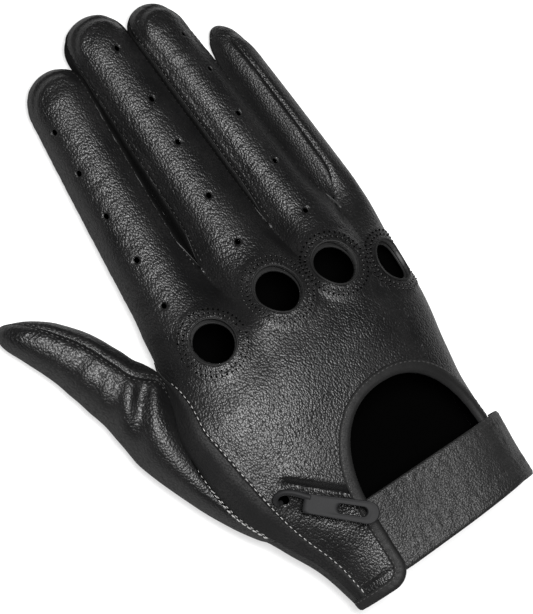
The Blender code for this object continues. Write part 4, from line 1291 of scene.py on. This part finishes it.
# The wrist strap, from under the thumb-side flap, over the other and round the hand's edge
strap = {
    "low": -65.0,
    "high": -35.5,
    "thick": 1.6,
    "fromEdge": 2.4,
    "sewn": 14.0,
    "bend": 4.0,
    "tipAngle": 40.0,
    "end": -8.0,
    "pile": 1.0,
    "gap": 0.3,
    "binding": 0.8,
    "narrows": 2.7,
    "row": 7.5,  # the lower row of stitches, from the low edge
}
strap["middle"] = (strap["low"] + strap["high"]) / 2
strapThread = {**threadLook, "thickness": 0.16, "proud": -0.03}


def strapStart():
    x = opening["left"] + strap["fromEdge"]
    return float(handAngle(x, strap["middle"])), float(handAt(strap["middle"])[1])


def strapRise(angle):
    under = -(hand["leather"] + strap["binding"] + 2 * strap["gap"] + strap["thick"])
    over = 2 * strap["pile"] + 3 * strap["gap"]
    start = handAngle(opening["left"] + 4, strap["high"])
    finish = handAngle(opening["right"] - 3, strap["high"])
    return under + (over - under) * smooth((start - angle) / (start - finish))


def strapPoint(angle, y, inset):
    start, _ = strapStart()
    across = np.clip((start - angle) / (start - strap["tipAngle"]), 0, 1)
    y = y + strap["narrows"] * across ** 1.4 * (strap["high"] - y) / (strap["high"] - strap["low"])
    shifted = angle + (handAngle(opening["left"] + strap["fromEdge"], y) - start) * (1 - across)
    return handPoint(shifted, y, inset - strapRise(angle) - strap["thick"])


def makeStrap():
    low, high, middle = strap["low"], strap["high"], strap["middle"]
    start, halfWidth = strapStart()
    sewn = start + math.degrees(strap["sewn"] / halfWidth)
    y, angle = np.meshgrid(np.linspace(low, high, 44), np.linspace(sewn, strap["end"], 150))
    edge = np.minimum(y - low, high - y)
    end = (angle - strap["end"]) / 57 * 42
    rounding = 0.55 * (1 - smooth(edge / 1.4)) + 0.5 * (1 - smooth(end / 1.5))
    creased = 0.05 * ripple(angle * 0.7, y * 0.6, 121, 7)
    creased = creased + 0.22 * ripple(angle * 0.1, y * 0.12, 122, 5)
    puckers = ripple(angle * 2.4, y * 0.4, 123, 6)
    rows = bell(y - high + 3.6, 1.3) + bell(y - low - strap["row"], 1.6)
    shown = smooth((start - angle) / 8)
    up = (creased + puckers * rows * 0.15 - 0.12 * rows) * shown
    up = up - rounding - 0.12 * bell(edge - 2.2, 0.5)
    inner = strapPoint(angle, y, strap["thick"] - rounding * 0.6)
    leather = Leather().grid(strapPoint(angle, y, -up), inner).sew()
    run = np.linspace(start - 2, strap["end"] + 3, 260)
    for place in (low + 2.2, high - 2.2, low + strap["row"]):
        leather.stitch(strapPoint(run, place + 0 * run, 0.15), strapThread)
    splits = [("strapBand", lambda m: m[:, 0] < 12), ("strapTip", lambda m: m[:, 0] >= 12)]
    band, tip = finishLeather(leather, leathers["strap"], splits)
    bend = math.degrees(strap["bend"] / halfWidth)
    for piece, bodies, first, last in (
        (band, ("hand", "strap"), start, start - bend),
        (tip, ("strap", "strap_tip"), strap["tipAngle"] + bend, strap["tipAngle"]),
    ):
        ends = (strapPoint(np.float64(a), np.float64(middle), 0.8) for a in (first, last))
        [tuple(end * 0.001) for end in ends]
        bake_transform(piece)
    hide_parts("strap_sewn_end", "strap_bend", "strap_band")
    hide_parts("strap_tip_bend", "strap_tip")


makeStrap()
print("strap made")

# The hanger: a slotted bar whose arm hooks down through the leather
def evenly(points, count):
    closed = np.concatenate([points, points[:1]])
    return readAlong(closed, np.linspace(0, runAlong(closed)[-1], count + 1)[:-1])


def arc(x, y, radius, first, last, count=12):
    turns = np.radians(np.linspace(first, last, count))
    return np.stack([x + radius * np.cos(turns), y + radius * np.sin(turns)], axis=1)


def onHanger(flat, up):
    return hangerEye + flat[:, :1] * hangerAlong + flat[:, 1:2] * hangerSide + up * hangerUp


def hangerRows():
    corner, half = hanger["corner"], hanger["half"]
    x, inset = hanger["from"] + corner, hanger["narrow"] - corner
    outline = [
        arc(hanger["to"], 0, half, 0, 90),
        arc(x, inset, corner, 90, 180, 8),
        arc(x, -inset, corner, 180, 270, 8),
        arc(hanger["to"], 0, half, 270, 360),
    ]
    start, end, half = hanger["slot"]
    slot = [
        arc(end - half, 0, half, 0, 90),
        arc(start + half, 0, half, 90, 270, 20),
        arc(end - half, 0, half, 270, 360),
    ]
    outline, slot = (evenly(np.concatenate(parts), 144) for parts in (outline, slot))
    rows = []
    for share, high in hanger["profile"]:
        flat = slot * (1 - share) + outline * share
        rows.append(onHanger(flat, hanger["lift"] + high * hanger["thickness"]))
    rows = np.stack(rows, axis=1)
    rows = np.concatenate([rows, rows[:1]])
    return rows, np.repeat(rows.mean(axis=1, keepdims=True), rows.shape[1], axis=1)


def hangerArm():
    path = [(float(k), *place) for k, place in enumerate(hanger["arm"])]
    line = curveThrough(path, np.linspace(0, len(path) - 1, 70))
    line = onHanger(line, line[:, 2:])
    ahead = unit(np.gradient(line, axis=0))
    side = unit(np.cross(ahead, hangerSide + 0.3 * hangerAlong))
    radius = np.linspace(*hanger["armHalf"], len(line))
    radius[[0, -1]] = 0.05
    return tube(line, side, np.cross(side, ahead), radius, 14)


piece = solidPiece("hangerBar", [hangerRows(), hangerArm()], [plain["mouldedPlastic"]])
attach(piece, "hanger")
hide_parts("hanger")
print("hanger made")

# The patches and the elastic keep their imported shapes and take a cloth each
cloths = {"loop_patch": "pileCloth", "hook_patch": "pileCloth", "wrist_elastic": "elasticCloth"}
for node, cloth in cloths.items():
    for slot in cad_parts[node].material_slots:
        slot.material = plain[cloth]

# Floor, light and camera
stage = {
    "floor": (0.34, 0.34, 0.34),
    "glow": 0.66,
    "sky": 0.05,
    "lamp": {"place": (-0.2, 0.06, 1.1), "size": 0.36, "power": 28.5, "aim": (-0.01, 0.03, 0.02)},
    "tilt": 20.0,
    "turn": (0.835, 0.55),
    "shift": (0.00319, 0.0425),
    "distance": 2.4,
    "rows": 614,
    "scale": 0.3678,  # millimetres to a row
    "sensor": 24,
}


def makeStage():
    bpy.ops.mesh.primitive_plane_add(size=6, location=(0, 0, -0.0005))
    floor = bpy.context.object
    floor.name = "floor"
    finish = Finish("paleFloor")
    finish.put(Base_Color=(*stage["floor"], 1), Roughness=0.9, Specular_IOR_Level=0.1)
    finish.put(Emission_Color=(1, 1, 1, 1), Emission_Strength=stage["glow"])
    floor.data.materials.append(finish.material)
    world = bpy.data.worlds.new("studio")
    world.use_nodes = True
    sky = world.node_tree.nodes["Background"]
    sky.inputs[0].default_value = (1, 1, 1, 1)
    sky.inputs[1].default_value = stage["sky"]
    bpy.context.scene.world = world
    look = stage["lamp"]
    lamp = bpy.data.lights.new("overhead", "AREA")
    lamp.shape = "SQUARE"
    lamp.size = look["size"]
    lamp.energy = look["power"]
    holder = bpy.data.objects.new("overhead", lamp)
    holder.location = look["place"]
    ahead = Vector(look["aim"]) - Vector(look["place"])
    holder.rotation_euler = ahead.to_track_quat("-Z", "Y").to_euler()
    bpy.context.scene.collection.objects.link(holder)


def makeCamera():
    tilt = math.radians(stage["tilt"])
    across, forward = Vector((math.cos(tilt), 0, math.sin(tilt))), Vector((0, 1, 0))
    c, s = stage["turn"]
    right = (c * across - s * forward).normalized()
    up = s * across + c * forward
    up = (up - right * up.dot(right)).normalized()
    out = right.cross(up)
    camera = bpy.data.cameras.new("camera")
    holder = bpy.data.objects.new("camera", camera)
    bpy.context.scene.collection.objects.link(holder)
    place = Matrix((right, up, out)).transposed().to_4x4()
    aside, ahead = stage["shift"]
    place.translation = across * aside + forward * ahead + out * stage["distance"]
    holder.matrix_world = place
    camera.sensor_fit = "VERTICAL"
    camera.sensor_height = stage["sensor"]
    camera.lens = stage["sensor"] * stage["distance"] / (stage["rows"] * stage["scale"] * 0.001)
    bpy.context.scene.camera = holder


makeStage()
makeCamera()
bpy.context.scene.view_settings.view_transform = "Standard"

print("scene ready")
